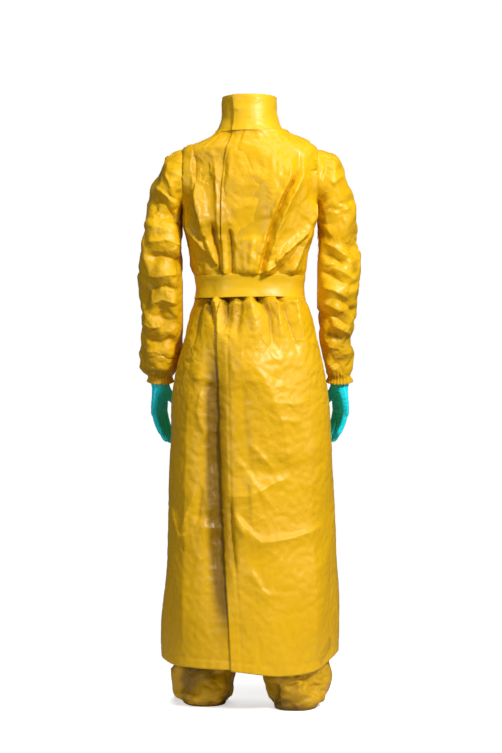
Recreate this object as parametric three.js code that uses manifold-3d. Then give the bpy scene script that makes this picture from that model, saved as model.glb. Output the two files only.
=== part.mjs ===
// Chemical protective suit: a long gown that closes at the back, with its belt, gloves and overboots.
// Millimetres, +Z up. The wearer faces +Y, so the wearer's right is +X, and the soles stand on z = 0.
// Every piece has the shape that it holds when worn. Cloth is a thin wall, open where the garment is.

import * as THREE from "three";
import { mergeVertices } from "three/addons/utils/BufferGeometryUtils.js";
import Module from "manifold-3d";

const wasm = await Module();
wasm.setup();

// Cloth and clearances
const WALL = 2; // coated cloth with its seam allowances
const LAYER_GAP = 3; // between two layers that overlap
const SEAM_GAP = 0.6; // between two pieces that are sewn edge to edge
const TAPE = 1; // seam tape and elastic
const TAPE_GAP = 0.5; // between a tape and the cloth that it lies on
const ELASTIC_WIDTH = 12;

// Gown heights
const HEM_Z = 110;
const WAIST_Z = 1061;
const ARMHOLE_Z = 1340;
const NECK_Z = 1458;
const COLLAR_HEIGHT = 91;

// Gown half sizes
const HEM_HALF_WIDTH = 230;
const HEM_HALF_DEPTH = 204;
const SEAT_HALF_WIDTH = 199;
const WAIST_HALF_WIDTH = 133;
const CHEST_HALF_WIDTH = 169;
const NECK_HALF_WIDTH = 90;
const COLLAR_TOP_HALF_WIDTH = 70;
const ARMHOLE_RADIUS = 76;
const SHOULDER_RISE = 8; // of the shoulder seam above the armhole

// Closure and belt
const UNDERLAP_ANGLE = 305; // where the under panel ends, behind the over panel
const VENT_TOP_DROP = 58; // of the vent's top below the waist line
const VENT_FOOT_X = 140; // where the vent's fold line meets the hem
const VENT_GAP = 1.5;
const BELT_WIDTH = 60;
const BELT_GAP = 2.4; // outside the overlap of the back panels
const KNOT_WIDTH = 52;
const TAIL_WIDTH = 42;
const TAIL_LENGTH = 300;
const TAIL_SPREAD = 4; // between the two tails
const TAIL_GAP = 3; // between the knot and the tails, and between the tails and the skirt

// Sleeves and gloves
const SLEEVE_GAP = 1.6; // between the sleeve's root and the gown's side
const CUFF_RADIUS = 32;
const CUFF_Z = 820;
const WRIST_X = 234;
const WRIST_Y = 70;
const GLOVE_GAP = 1.6; // between the glove's cuff and the sleeve's elastic
const GLOVE_SKIN = 1.4;
const GLOVE_CUFF_LENGTH = 66;
const PALM_LENGTH = 92;
const HAND_TURN = 23; // degrees that the palm faces back from facing the thigh

// Overboots
const BOOT_X = 118;
const LEFT_BOOT_Y = -12;
const HEEL_CLEARANCE = 21; // from the right boot's calf to the skirt behind it
const BOOT_HEIGHT = 440;
const TOE_OUT = 8;
const SOLE_THICKNESS = 8;
const TIE_Z = 196;
const TIE_WIDTH = 22;
const ELASTIC_DROP = 3; // of the top elastic below the boot's top edge

const TURN = Math.PI * 2;
const rad = THREE.MathUtils.degToRad;
const lerp = THREE.MathUtils.lerp;
const smoothstep = THREE.MathUtils.smoothstep;

// ---- Helpers for thin closed solids ----

// A geometry with only its positions, and its shared corners merged.
function closed(geometry) {
  geometry.deleteAttribute("normal");
  geometry.deleteAttribute("uv");
  return mergeVertices(geometry, 1e-4);
}

function moveEach(geometry, place) {
  const position = geometry.attributes.position;
  const corner = new THREE.Vector3();
  for (let i = 0; i < position.count; i++) {
    const to = place(corner.fromBufferAttribute(position, i));
    position.setXYZ(i, to.x, to.y, to.z);
  }
  return closed(geometry);
}

// A flat slab, bent by place(across, along, through), each from 0 to 1.
function slab(across, along, place) {
  const step = (value, count) => Math.round((value + 0.5) * count) / count;
  const box = new THREE.BoxGeometry(1, 1, 1, across, along, 1);
  return moveEach(box, (p) => place(step(p.x, across), step(p.y, along), step(p.z, 1)));
}

// A tube wall, bent by place(angle in degrees, along, through), with through 0 inside and 1 outside.
function tube(around, along, place) {
  const wall = [];
  for (let i = 0; i <= along; i++) wall.push(new THREE.Vector2(2, i));
  for (let i = along; i >= 0; i--) wall.push(new THREE.Vector2(1, i));
  wall.push(new THREE.Vector2(2, 0));
  return moveEach(new THREE.LatheGeometry(wall, around), (p) => {
    const index = Math.round((Math.atan2(p.x, p.z) / TURN) * around + around) % around;
    return place((index * 360) / around, p.y / along, Math.round(Math.hypot(p.x, p.z)) - 1);
  });
}

function toSolid(geometry) {
  const vertProperties = new Float32Array(geometry.attributes.position.array);
  const triVerts = new Uint32Array(geometry.index.array);
  return new wasm.Manifold(new wasm.Mesh({ numProp: 3, vertProperties, triVerts }));
}

function toGeometry(solid) {
  const mesh = solid.getMesh();
  const geometry = new THREE.BufferGeometry();
  geometry.setAttribute("position", new THREE.BufferAttribute(mesh.vertProperties, 3));
  geometry.setIndex(new THREE.BufferAttribute(mesh.triVerts, 1));
  return geometry;
}

// A table of smooth values: rows of [height, value, value, ...], looked up at any height.
function profile(rows) {
  const heights = rows.map((row) => row[0]);
  const values = rows.flatMap((row) => row.slice(1));
  const curve = new THREE.CubicInterpolant(heights, values, rows[0].length - 1);
  return (height) => Array.from(curve.evaluate(height));
}

// A point raised from surface(a, b) along its normal.
function raised(surface, a, b, height, stepA = 0.5, stepB = 0.5) {
  const at = surface(a, b);
  const alongA = surface(a + stepA, b).sub(surface(a - stepA, b));
  const alongB = surface(a, b + stepB).sub(surface(a, b - stepB));
  return at.add(alongA.cross(alongB).setLength(height));
}

// A point at an angle on a rounded rectangle: 0 on +X, 90 on +Y.
function roundedPoint(angle, halfWidth, back, front, square) {
  const c = Math.cos(rad(angle));
  const s = Math.sin(rad(angle));
  const power = 2 / square;
  const depth = s < 0 ? back : front;
  return [
    Math.sign(c) * Math.abs(c) ** power * halfWidth,
    Math.sign(s) * Math.abs(s) ** power * depth,
  ];
}

const suit = new THREE.Group();
const yellowCloth = { color: 0xe0a810, roughness: 0.38, metalness: 0 };
const tapeLook = { color: 0xd8a41c, roughness: 0.45, metalness: 0 };
const elasticLook = { color: 0xf0efe6, roughness: 0.85, metalness: 0 };
const soleLook = { color: 0xb98f1e, roughness: 0.75, metalness: 0 };
const gloveLook = { color: 0x00b3a4, roughness: 0.5, metalness: 0 };

function add(name, geometry, look, mirrored = false) {
  const mesh = new THREE.Mesh(geometry, new THREE.MeshStandardMaterial(look));
  mesh.name = name;
  if (mirrored) mesh.scale.x = -1;
  suit.add(mesh);
  return mesh;
}

// ---- The gown's body: a front panel and two back panels, sewn at the sides and shoulders ----

const skirt = (share) => lerp(HEM_Z, WAIST_Z, share);
const bodice = (share) => lerp(WAIST_Z, ARMHOLE_Z - ARMHOLE_RADIUS, share);
const SHOULDER_Z = ARMHOLE_Z + ARMHOLE_RADIUS + SHOULDER_RISE;
const yoke = (share) => lerp(SHOULDER_Z, NECK_Z, share);

// Height, half width, back depth, front depth, squareness, and the x of the over panel's free edge.
const GOWN_ROWS = [
  [HEM_Z, HEM_HALF_WIDTH, HEM_HALF_DEPTH - WALL - LAYER_GAP, HEM_HALF_DEPTH, 2.2, -46],
  [skirt(0.25), HEM_HALF_WIDTH - 8, HEM_HALF_DEPTH - 20, HEM_HALF_DEPTH - 16, 2.2, -62],
  [skirt(0.52), HEM_HALF_WIDTH - 20, HEM_HALF_DEPTH - 40, HEM_HALF_DEPTH - 36, 2.2, -76],
  [skirt(0.75), SEAT_HALF_WIDTH, 150, 154, 2.2, -80],
  [skirt(0.86), SEAT_HALF_WIDTH - 29, 134, 137, 2.25, -80],
  [skirt(0.94), WAIST_HALF_WIDTH + 15, 114, 118, 2.3, -73],
  [WAIST_Z - BELT_WIDTH / 2 - 3, WAIST_HALF_WIDTH + 4, 105, 111, 2.3, -66],
  [WAIST_Z, WAIST_HALF_WIDTH, 100, 107, 2.3, -62],
  [WAIST_Z + BELT_WIDTH / 2 + 3, WAIST_HALF_WIDTH + 4, 104, 110, 2.3, -64],
  [bodice(0.6), lerp(WAIST_HALF_WIDTH, CHEST_HALF_WIDTH, 0.58), 119, 120, 2.4, -70],
  [bodice(1), CHEST_HALF_WIDTH - 1, 127, 123, 3, -72],
  [ARMHOLE_Z, CHEST_HALF_WIDTH, 121, 115, 3.4, -70],
  [ARMHOLE_Z + 0.53 * ARMHOLE_RADIUS, CHEST_HALF_WIDTH, 107, 101, 3.2, -66],
  [SHOULDER_Z, CHEST_HALF_WIDTH - 3, 84, 76, 2.6, -56],
  [yoke(0.5), lerp(CHEST_HALF_WIDTH, NECK_HALF_WIDTH, 0.5), 78, 73, 2.3, -50],
  [NECK_Z, NECK_HALF_WIDTH, 76, 72, 2, -44],
];
const gownProfile = profile(GOWN_ROWS);
const GOWN_STEPS = GOWN_ROWS.length - 1;
const ARMHOLE_ROW = GOWN_ROWS.findIndex((row) => row[0] >= ARMHOLE_Z - ARMHOLE_RADIUS);
const SHOULDER_ROW = GOWN_ROWS.findIndex((row) => row[0] >= SHOULDER_Z);

// Pieces that lie against each other share these rows, so that their facets are parallel.
const gownRow = (share) => GOWN_ROWS[Math.round(share * GOWN_STEPS)][0];

function gownSurface(angle, height) {
  const [halfWidth, back, front, square] = gownProfile(height);
  return new THREE.Vector3(...roundedPoint(angle, halfWidth, back, front, square), height);
}

// Angles step evenly from one edge to the other, with the outermost step as narrow as the seam tape.
function seamedAngle(share, steps, from, to) {
  const step = Math.round(share * steps);
  const atSeam = (angle) => Math.abs(angle % 180) < 1 || Math.abs(angle % 180) > 179;
  const first = atSeam(from) ? from + TAPE_HALF_ANGLE : from;
  const last = atSeam(to) ? to - TAPE_HALF_ANGLE : to;
  if (step === 0) return from;
  if (step === steps) return to;
  const even = steps - (first !== from) - (last !== to);
  return lerp(first, last, (step - (first !== from)) / even);
}

// A strip of the gown's surface. The two angles may depend on the height, and the lifts on the angle.
const value = (given, at) => (typeof given === "function" ? given(at) : given);

function gownStrip(across, along, from, to, heightAt, under, over) {
  return slab(across, along, (u, v, w) => {
    const height = heightAt(v);
    const angle = seamedAngle(u, across, value(from, height), value(to, height));
    const lift = lerp(value(under, angle), value(over, angle), w);
    return raised(gownSurface, angle, height, lift);
  });
}

const seamAngle = (SEAM_GAP / CHEST_HALF_WIDTH) * (180 / Math.PI);
const TAPE_HALF_ANGLE = 5;

// The over panel's free edge: the angle at which the gown's surface has that x.
function freeEdgeAngle(height) {
  const [halfWidth, , , square, edge] = gownProfile(height);
  return 180 + THREE.MathUtils.radToDeg(Math.acos((Math.abs(edge) / halfWidth) ** (square / 2)));
}

// The over panel leaves the side seam in line with the front, and rises over the under panel.
const overLift = (angle) => (WALL + LAYER_GAP) * (1 - smoothstep(angle, 308, 345));

const armholeCutter = new THREE.CylinderGeometry(ARMHOLE_RADIUS + 1, ARMHOLE_RADIUS + 1, 480, 40);
armholeCutter.rotateZ(Math.PI / 2).translate(0, 0, ARMHOLE_Z);
const armholes = toSolid(closed(armholeCutter));

const frontBlank = gownStrip(12, GOWN_STEPS, seamAngle, 180 - seamAngle, gownRow, 0, WALL);
const underBlank = gownStrip(9, GOWN_STEPS, 180 + seamAngle, UNDERLAP_ANGLE, gownRow, 0, WALL);
const overBlank = gownStrip(
  10,
  GOWN_STEPS,
  freeEdgeAngle,
  360 - seamAngle,
  gownRow,
  overLift,
  (angle) => overLift(angle) + WALL,
);
add("front_panel", toGeometry(toSolid(frontBlank).subtract(armholes)), yellowCloth);
add("back_panel_left", toGeometry(toSolid(underBlank).subtract(armholes)), yellowCloth);

// ---- The vent: the over panel's lower corner, which swings open below the belt ----

const ventTop = new THREE.Vector3(gownProfile(WAIST_Z - VENT_TOP_DROP)[4], 0, WAIST_Z - VENT_TOP_DROP);
const ventFoot = new THREE.Vector3(VENT_FOOT_X, 0, HEM_Z);

// A block whose upper right face is the fold line, moved down and left by gap.
function ventBlock(gap) {
  const length = 3000;
  const along = ventFoot.clone().sub(ventTop).normalize();
  const out = new THREE.Vector3(along.z, 0, -along.x);
  const middle = ventTop.clone().add(ventFoot).multiplyScalar(0.5);
  const block = new THREE.BoxGeometry(length, 1200, length);
  block.rotateY(Math.atan2(-out.z, out.x));
  const centre = middle.addScaledVector(out, length / 2 + gap);
  block.translate(centre.x, -610, centre.z);
  return toSolid(closed(block));
}

const overPanel = toSolid(overBlank).subtract(armholes);
add("back_panel_right", toGeometry(overPanel.subtract(ventBlock(0))), yellowCloth);
add("vent_flap", toGeometry(overPanel.intersect(ventBlock(VENT_GAP))), yellowCloth);

// ---- The collar: one stand that runs round the neck and overlaps at the back ----

const COLLAR_CELL = 12; // degrees; the turn holds a whole number, so overlapping facets are parallel
const COLLAR_FROM = -112; // the end that lies outside
const COLLAR_CELLS = 34; // to the end that lies inside, more than a full turn on
const COLLAR_LEAN = 8; // of the collar's top towards the front
const COLLAR_Z = NECK_Z + WALL + SEAM_GAP;
const collarProfile = profile([
  [0, NECK_HALF_WIDTH, 76, 72, 0],
  [0.35, lerp(NECK_HALF_WIDTH, COLLAR_TOP_HALF_WIDTH, 0.6), 74, 72, -2],
  [0.7, COLLAR_TOP_HALF_WIDTH + 2, 74, 72, -3],
  [1, COLLAR_TOP_HALF_WIDTH, 74, 72, -3],
]);
const collarLift = (angle) => (WALL + LAYER_GAP) * (1 - smoothstep(angle, -58, -20));

function collarSurface(angle, share) {
  const [halfWidth, back, front, shift] = collarProfile(share);
  const [x, y] = roundedPoint(angle, halfWidth, back, front, 2);
  return new THREE.Vector3(x + shift, y + COLLAR_LEAN * share, COLLAR_Z + share * COLLAR_HEIGHT);
}

function collarStrip(firstCell, cells, along, low, high, under, over) {
  return slab(cells, along, (u, v, w) => {
    const angle = COLLAR_FROM + COLLAR_CELL * (firstCell + cells * u);
    const lift = lerp(under(angle), over(angle), w);
    return raised(collarSurface, angle, lerp(low, high, v), lift, 0.5, 0.01);
  });
}

const wallFrom = (lift) => (angle) => lift(angle) + WALL;
const collar = collarStrip(0, COLLAR_CELLS, 4, 0, 1, collarLift, wallFrom(collarLift));
add("collar", collar, yellowCloth);

// The hook strip is sewn to the inner end and the loop strip to the outer end, face to face between them.
const STRIP_THICKNESS = (LAYER_GAP - 3 * TAPE_GAP) / 2;
const flat = (lift) => () => lift;
const hookLift = WALL + TAPE_GAP;
const loopLift = hookLift + STRIP_THICKNESS + TAPE_GAP;
for (const [name, lift] of [["collar_hook_strip", hookLift], ["collar_loop_strip", loopLift]]) {
  const strip = collarStrip(1, 2, 2, 0.25, 0.75, flat(lift), flat(lift + STRIP_THICKNESS));
  add(name, strip, elasticLook);
}

// ---- Seam tapes, heat sealed along the inside of the seams ----

const rowsBetween = (from, to) => (v) => GOWN_ROWS[Math.round(lerp(from, to, v))][0];
const tapeSpans = {
  side: [0, ARMHOLE_ROW - 1],
  shoulder: [SHOULDER_ROW, GOWN_STEPS],
};
for (const [seam, [from, to]] of Object.entries(tapeSpans)) {
  for (const [side, centre] of [["right", 0], ["left", 180]]) {
    const edges = [centre - TAPE_HALF_ANGLE, centre + TAPE_HALF_ANGLE];
    const lifts = [-TAPE_GAP - TAPE, -TAPE_GAP];
    const tape = gownStrip(2, to - from, ...edges, rowsBetween(from, to), ...lifts);
    add(`${seam}_seam_tape_${side}`, tape, tapeLook);
  }
}

// ---- Sleeves: each starts on a round armhole in an upright plane, so it can swing there ----

const SLEEVE_X = CHEST_HALF_WIDTH + WALL + SLEEVE_GAP;
const forearm = (share) => lerp(1070, CUFF_Z, share);

const UNDERARM_Z = ARMHOLE_Z - ARMHOLE_RADIUS;
const OVERARM_Z = ARMHOLE_Z + ARMHOLE_RADIUS;

// Inner x and z, outer x and z, y, half depth and pitch of each ring, from the armhole to the cuff.
const SLEEVE_RINGS = [
  [SLEEVE_X, UNDERARM_Z, SLEEVE_X, OVERARM_Z, 0, ARMHOLE_RADIUS, 0],
  [SLEEVE_X + 2, UNDERARM_Z - 3, SLEEVE_X + 26, OVERARM_Z - 3, 0, ARMHOLE_RADIUS, 0],
  [SLEEVE_X + 3, UNDERARM_Z - 8, SLEEVE_X + 45, OVERARM_Z - 20, 0, 74, 0],
  [SLEEVE_X + 4, UNDERARM_Z - 16, SLEEVE_X + 58, OVERARM_Z - 46, 0, 72, 0],
  [SLEEVE_X + 4, UNDERARM_Z - 28, 242, ARMHOLE_Z - 4, 0, 69, 0],
  [SLEEVE_X + 4, UNDERARM_Z - 46, 250, ARMHOLE_Z - 42, 0, 66, 0],
  [SLEEVE_X + 4, 1178, 262, 1238, 2, 63, 1],
  [SLEEVE_X + 2, 1130, 271, 1163, 5, 62, 3],
  [SLEEVE_X - 2, 1070, 276, 1090, 10, 64, 7],
  [SLEEVE_X, forearm(0.26), 277, forearm(0.26) + 12, 20, 60, 11],
  [SLEEVE_X + 7, forearm(0.55), 274, forearm(0.55) + 8, 38, 51, 14],
  [
    WRIST_X - CUFF_RADIUS - 6,
    forearm(0.81),
    WRIST_X + CUFF_RADIUS + 4,
    forearm(0.81) + 4,
    WRIST_Y - 12,
    CUFF_RADIUS + 9,
    14,
  ],
  [WRIST_X - CUFF_RADIUS, CUFF_Z, WRIST_X + CUFF_RADIUS, CUFF_Z + 2, WRIST_Y, CUFF_RADIUS + 1, 14],
];
const sleeveProfile = profile(SLEEVE_RINGS.map((ring, i) => [i, ...ring]));
const SLEEVE_LAST = SLEEVE_RINGS.length - 1;

function sleeveCentre(ring) {
  const [innerX, innerZ, outerX, outerZ, y] = sleeveProfile(ring);
  return new THREE.Vector3((innerX + outerX) / 2, y, (innerZ + outerZ) / 2);
}

// Angle 0 is the outer side, 90 the front and 180 the side next to the body; ring counts down the sleeve.
function sleeveSurface(angle, ring) {
  const [innerX, innerZ, outerX, outerZ, , halfDepth, pitch] = sleeveProfile(ring);
  const across = new THREE.Vector3(outerX - innerX, 0, outerZ - innerZ).multiplyScalar(0.5);
  const front = new THREE.Vector3(0, Math.cos(rad(pitch)), Math.sin(rad(pitch))).multiplyScalar(halfDepth);
  return sleeveCentre(ring)
    .addScaledVector(across, Math.cos(rad(angle)))
    .addScaledVector(front, Math.sin(rad(angle)));
}

// The rings count downwards, so an angle that runs the other way keeps the outside out.
const sleevePoint = (angle, ring, lift) =>
  raised((a, r) => sleeveSurface(-a, r), angle, ring, lift, 0.5, 0.02);

const ELASTIC_RINGS = 0.25; // share of the last ring interval that the elastic takes
const SLEEVE_CELLS = 16;
const SLEEVE_CELL = 360 / SLEEVE_CELLS;

// One cell of the sleeve is centred on its seam, so that the tape there lies flat.
const sleeveGeometry = tube(SLEEVE_CELLS, SLEEVE_LAST, (angle, v, w) =>
  sleevePoint(angle + SLEEVE_CELL / 2, v * SLEEVE_LAST, (w - 1) * WALL),
);
const elasticOuter = -WALL - TAPE_GAP;
const cuffElastic = tube(SLEEVE_CELLS, 1, (angle, v, w) =>
  sleevePoint(
    angle + SLEEVE_CELL / 2,
    SLEEVE_LAST - ELASTIC_RINGS * (1 - v) - 0.02,
    elasticOuter - TAPE * (1 - w),
  ),
);
const TAPE_RINGS = [2, SLEEVE_LAST - 1];
const sleeveTape = slab(1, TAPE_RINGS[1] - TAPE_RINGS[0], (u, v, w) =>
  sleevePoint(180 + SLEEVE_CELL * (u - 0.5), lerp(...TAPE_RINGS, v), -WALL - TAPE_GAP - TAPE * (1 - w)),
);

const armholeTape = tube(24, 1, (angle, v, w) => {
  const radius = ARMHOLE_RADIUS - WALL - 2 * TAPE_GAP - 1.5 - TAPE * (1 - w);
  const x = lerp(SLEEVE_X - SLEEVE_GAP - 8, SLEEVE_X + 4, v);
  return new THREE.Vector3(x, radius * Math.cos(rad(angle)), ARMHOLE_Z + radius * Math.sin(rad(angle)));
});

for (const side of ["right", "left"]) {
  const mirrored = side === "left";
  add(`sleeve_${side}`, sleeveGeometry, yellowCloth, mirrored);
  add(`cuff_elastic_${side}`, cuffElastic, elasticLook, mirrored);
  add(`sleeve_seam_tape_${side}`, sleeveTape, tapeLook, mirrored);
  add(`armhole_seam_tape_${side}`, armholeTape, tapeLook, mirrored);
}

// ---- The belt: a band round the waist, tied in a knot at the front ----

const beltLift = 2 * WALL + LAYER_GAP + BELT_GAP;
const beltHeight = (v) => WAIST_Z + BELT_WIDTH * (v - 0.5);
const frontX = (angle) => gownSurface(angle, WAIST_Z).x;
let knotAngle = 90;
while (frontX(knotAngle) < KNOT_WIDTH / 2 + SEAM_GAP) knotAngle -= 0.25;
const belt = gownStrip(26, 2, 180 - knotAngle, 360 + knotAngle, beltHeight, beltLift, beltLift + WALL);
add("belt_band", belt, yellowCloth);

const KNOT_DEPTH = 20;
const knotY = gownSurface(90, WAIST_Z).y + WALL + 2 + KNOT_DEPTH / 2;
const knot = new THREE.SphereGeometry(0.5, 14, 10);
knot.scale(KNOT_WIDTH, KNOT_DEPTH, BELT_WIDTH).translate(0, knotY, WAIST_Z);
add("belt_knot", closed(knot), yellowCloth);

const tailTop = WAIST_Z - BELT_WIDTH / 2 - TAIL_GAP;
for (const [side, sign] of [["right", 1], ["left", -1]]) {
  const tail = slab(3, 10, (u, v, w) => {
    const x = sign * (TAIL_SPREAD / 2 + TAIL_WIDTH / 2) + TAIL_WIDTH * (u - 0.5) * -1;
    const height = tailTop - TAIL_LENGTH * (1 - v);
    const [halfWidth, , front, square] = gownProfile(height);
    const y = front * (1 - (Math.abs(x) / halfWidth) ** square) ** (1 / square);
    return new THREE.Vector3(x, y + WALL + TAIL_GAP + w * WALL, height);
  });
  add(`belt_tail_${side}`, tail, yellowCloth);
}

// ---- Gloves: each is one skin, with its cuff inside the sleeve ----

const wrist = sleeveCentre(SLEEVE_LAST);
const forearmAxis = wrist.clone().sub(sleeveCentre(SLEEVE_LAST - 2)).normalize();
const gloveRadius = CUFF_RADIUS - WALL - TAPE_GAP - TAPE - GLOVE_GAP;

// Fingers from the index to the little one: y at the knuckles, length, radius and knuckle height.
const FINGERS = [
  [29, 70, 10, 0],
  [9.5, 78, 10, 3],
  [-10, 72, 9.5, 1],
  [-28, 57, 8.5, -6],
];
const CURL = 38; // degrees from knuckle to fingertip

// A round bar from the origin down -Z that curls towards -X, with a round tip.
function finger(length, radius, tip, curl, skin) {
  const bar = [new THREE.Vector2(0, 0), new THREE.Vector2(radius - skin, 0)];
  for (const share of [0.35, 0.7]) {
    bar.push(new THREE.Vector2(lerp(radius, tip, share) - skin, share * length));
  }
  for (const turn of [0, 45]) {
    const reach = tip - skin;
    bar.push(new THREE.Vector2(reach * Math.cos(rad(turn)), length - tip + reach * Math.sin(rad(turn))));
  }
  bar.push(new THREE.Vector2(0, length - skin));
  return moveEach(new THREE.LatheGeometry(bar, 8), (p) => {
    const bend = rad(curl) * (p.y / length);
    const bendRadius = length / rad(curl);
    const out = bendRadius + p.x;
    return new THREE.Vector3(out * Math.cos(bend) - bendRadius, p.z, -out * Math.sin(bend));
  });
}

// The palm and the glove's cuff: an oval bar from top down to the knuckles, round above the wrist.
const ROUND_LEVEL = 12;

function palm(top, skin) {
  const oval = profile([
    [-PALM_LENGTH, 9, 31, 0],
    [-PALM_LENGTH * 0.94, 12, 38, 0],
    [-PALM_LENGTH * 0.75, 14.5, 41, 0],
    [-PALM_LENGTH * 0.4, 16.5, 38, 1],
    [-8, gloveRadius - 3, 29, 1],
    [ROUND_LEVEL, gloveRadius, gloveRadius, 0],
  ]);
  const levels = [-1, -0.94, -0.75, -0.4].map((share) => share * PALM_LENGTH);
  levels.push(-8, ROUND_LEVEL, top);
  const bar = [new THREE.Vector2(0, 0)];
  levels.forEach((_, i) => bar.push(new THREE.Vector2(1, i)));
  bar.push(new THREE.Vector2(0, levels.length - 1));
  return moveEach(new THREE.LatheGeometry(bar, 16), (p) => {
    const level = levels[Math.round(p.y)] + (p.y === 0 ? skin : 0);
    const [thick, wide, shift] = oval(Math.min(level, ROUND_LEVEL));
    return new THREE.Vector3(p.x * (thick - skin), shift - p.z * (wide - skin), level);
  });
}

function handSolid(top, skin) {
  let hand = toSolid(palm(top, skin));
  for (const [y, length, radius, knuckle] of FINGERS) {
    const bar = finger(length + 22, radius, radius * 0.82, CURL, skin);
    bar.translate(0, y, 22 - PALM_LENGTH + 4 - knuckle);
    hand = hand.add(toSolid(bar));
  }
  const thumb = finger(74, 13, 10, 24, skin);
  thumb.rotateX(rad(38)).rotateZ(rad(12)).translate(-5, 20, -22);
  return hand.add(toSolid(thumb));
}

const gloveShell = handSolid(GLOVE_CUFF_LENGTH, 0).subtract(handSolid(GLOVE_CUFF_LENGTH + 10, GLOVE_SKIN));
const gloveTurn = new THREE.Quaternion().setFromAxisAngle(new THREE.Vector3(0, 0, 1), rad(HAND_TURN));
const gloveLean = new THREE.Quaternion().setFromUnitVectors(new THREE.Vector3(0, 0, -1), forearmAxis);
const gloveGeometry = toGeometry(gloveShell)
  .applyQuaternion(gloveLean.multiply(gloveTurn))
  .translate(wrist.x, wrist.y, wrist.z);
add("glove_right", gloveGeometry, gloveLook);
add("glove_left", gloveGeometry, gloveLook, true);

// ---- Overboots: a loose leg and foot in one, sewn to a flat sole ----

// Height, half width, heel, toe and squareness, measured from the ankle.
const BOOT_ROWS = [
  [SOLE_THICKNESS + SEAM_GAP, 56, 84, 196, 2.4],
  [30, 62, 90, 200, 2.3],
  [55, 67, 92, 190, 2.2],
  [76, 72, 91, 160, 2.1],
  [98, 76, 89, 118, 2],
  [125, 77, 86, 95, 2],
  [TIE_Z, 76, 84, 88, 2],
  [TIE_Z + TIE_WIDTH, 75.5, 84, 87.5, 2],
  [BOOT_HEIGHT * 0.78, 74, 82, 85, 2],
  [BOOT_HEIGHT - ELASTIC_DROP - ELASTIC_WIDTH, 68, 74, 77, 2],
  [BOOT_HEIGHT - ELASTIC_DROP, 62, 67, 70, 2],
  [BOOT_HEIGHT, 60, 65, 68, 2],
];
const bootProfile = profile(BOOT_ROWS);
const bootLevel = (share) => {
  const row = share * (BOOT_ROWS.length - 1);
  const below = Math.min(Math.floor(row), BOOT_ROWS.length - 2);
  return lerp(BOOT_ROWS[below][0], BOOT_ROWS[below + 1][0], row - below);
};
const bootSurface = (angle, height) =>
  new THREE.Vector3(...roundedPoint(angle, ...bootProfile(height)), height);
const bootTube = (around, along, levelAt, under, over) =>
  tube(around, along, (angle, v, w) => {
    const height = levelAt(v);
    const flatWall = raised(bootSurface, angle, height, lerp(under, over, w));
    flatWall.z = height;
    return flatWall;
  });

const bootUpper = bootTube(18, BOOT_ROWS.length - 1, bootLevel, -WALL, 0);
const elasticLevel = (v) => BOOT_HEIGHT - ELASTIC_DROP - ELASTIC_WIDTH * (1 - v);
const topElastic = bootTube(18, 1, elasticLevel, -WALL - TAPE_GAP - TAPE, -WALL - TAPE_GAP);
const ankleTie = bootTube(18, 1, (v) => TIE_Z + TIE_WIDTH * v, TAPE_GAP, TAPE_GAP + TAPE);

const soleOutline = new THREE.Shape();
for (let angle = 0; angle < 360; angle += 10) {
  const [x, y] = roundedPoint(angle, 57, 86, 198, 2.5);
  if (angle === 0) soleOutline.moveTo(x, y);
  else soleOutline.lineTo(x, y);
}
const sole = closed(new THREE.ExtrudeGeometry(soleOutline, { depth: SOLE_THICKNESS, bevelEnabled: false }));

// The right boot stands as far back as the skirt allows.
const calfDepth = bootProfile(TIE_Z)[1];
const rightBootY = calfDepth + HEEL_CLEARANCE - gownProfile(BOOT_HEIGHT)[1];
for (const [side, sign, bootY] of [["left", -1, LEFT_BOOT_Y], ["right", 1, rightBootY]]) {
  const boot = new THREE.Group();
  boot.position.set(sign * BOOT_X, bootY, 0);
  boot.rotation.z = rad(-sign * TOE_OUT);
  const pieces = {
    upper: [bootUpper, yellowCloth],
    sole: [sole, soleLook],
    top_elastic: [topElastic, elasticLook],
    ankle_tie: [ankleTie, yellowCloth],
  };
  for (const [piece, [geometry, look]] of Object.entries(pieces)) {
    boot.add(add(`overboot_${piece}_${side}`, geometry, look));
  }
  suit.add(boot);
}

export default suit;
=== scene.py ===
# Chemical protective suit: a long coated gown that closes at the back, its belt, gloves and overboots.
# Metres, +Z up. The wearer faces +Y, so the first view is of the back, with the wearer's right on +X.

import math

import bmesh
import bpy
import numpy as np
from mathutils import Matrix, Vector, noise


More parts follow.
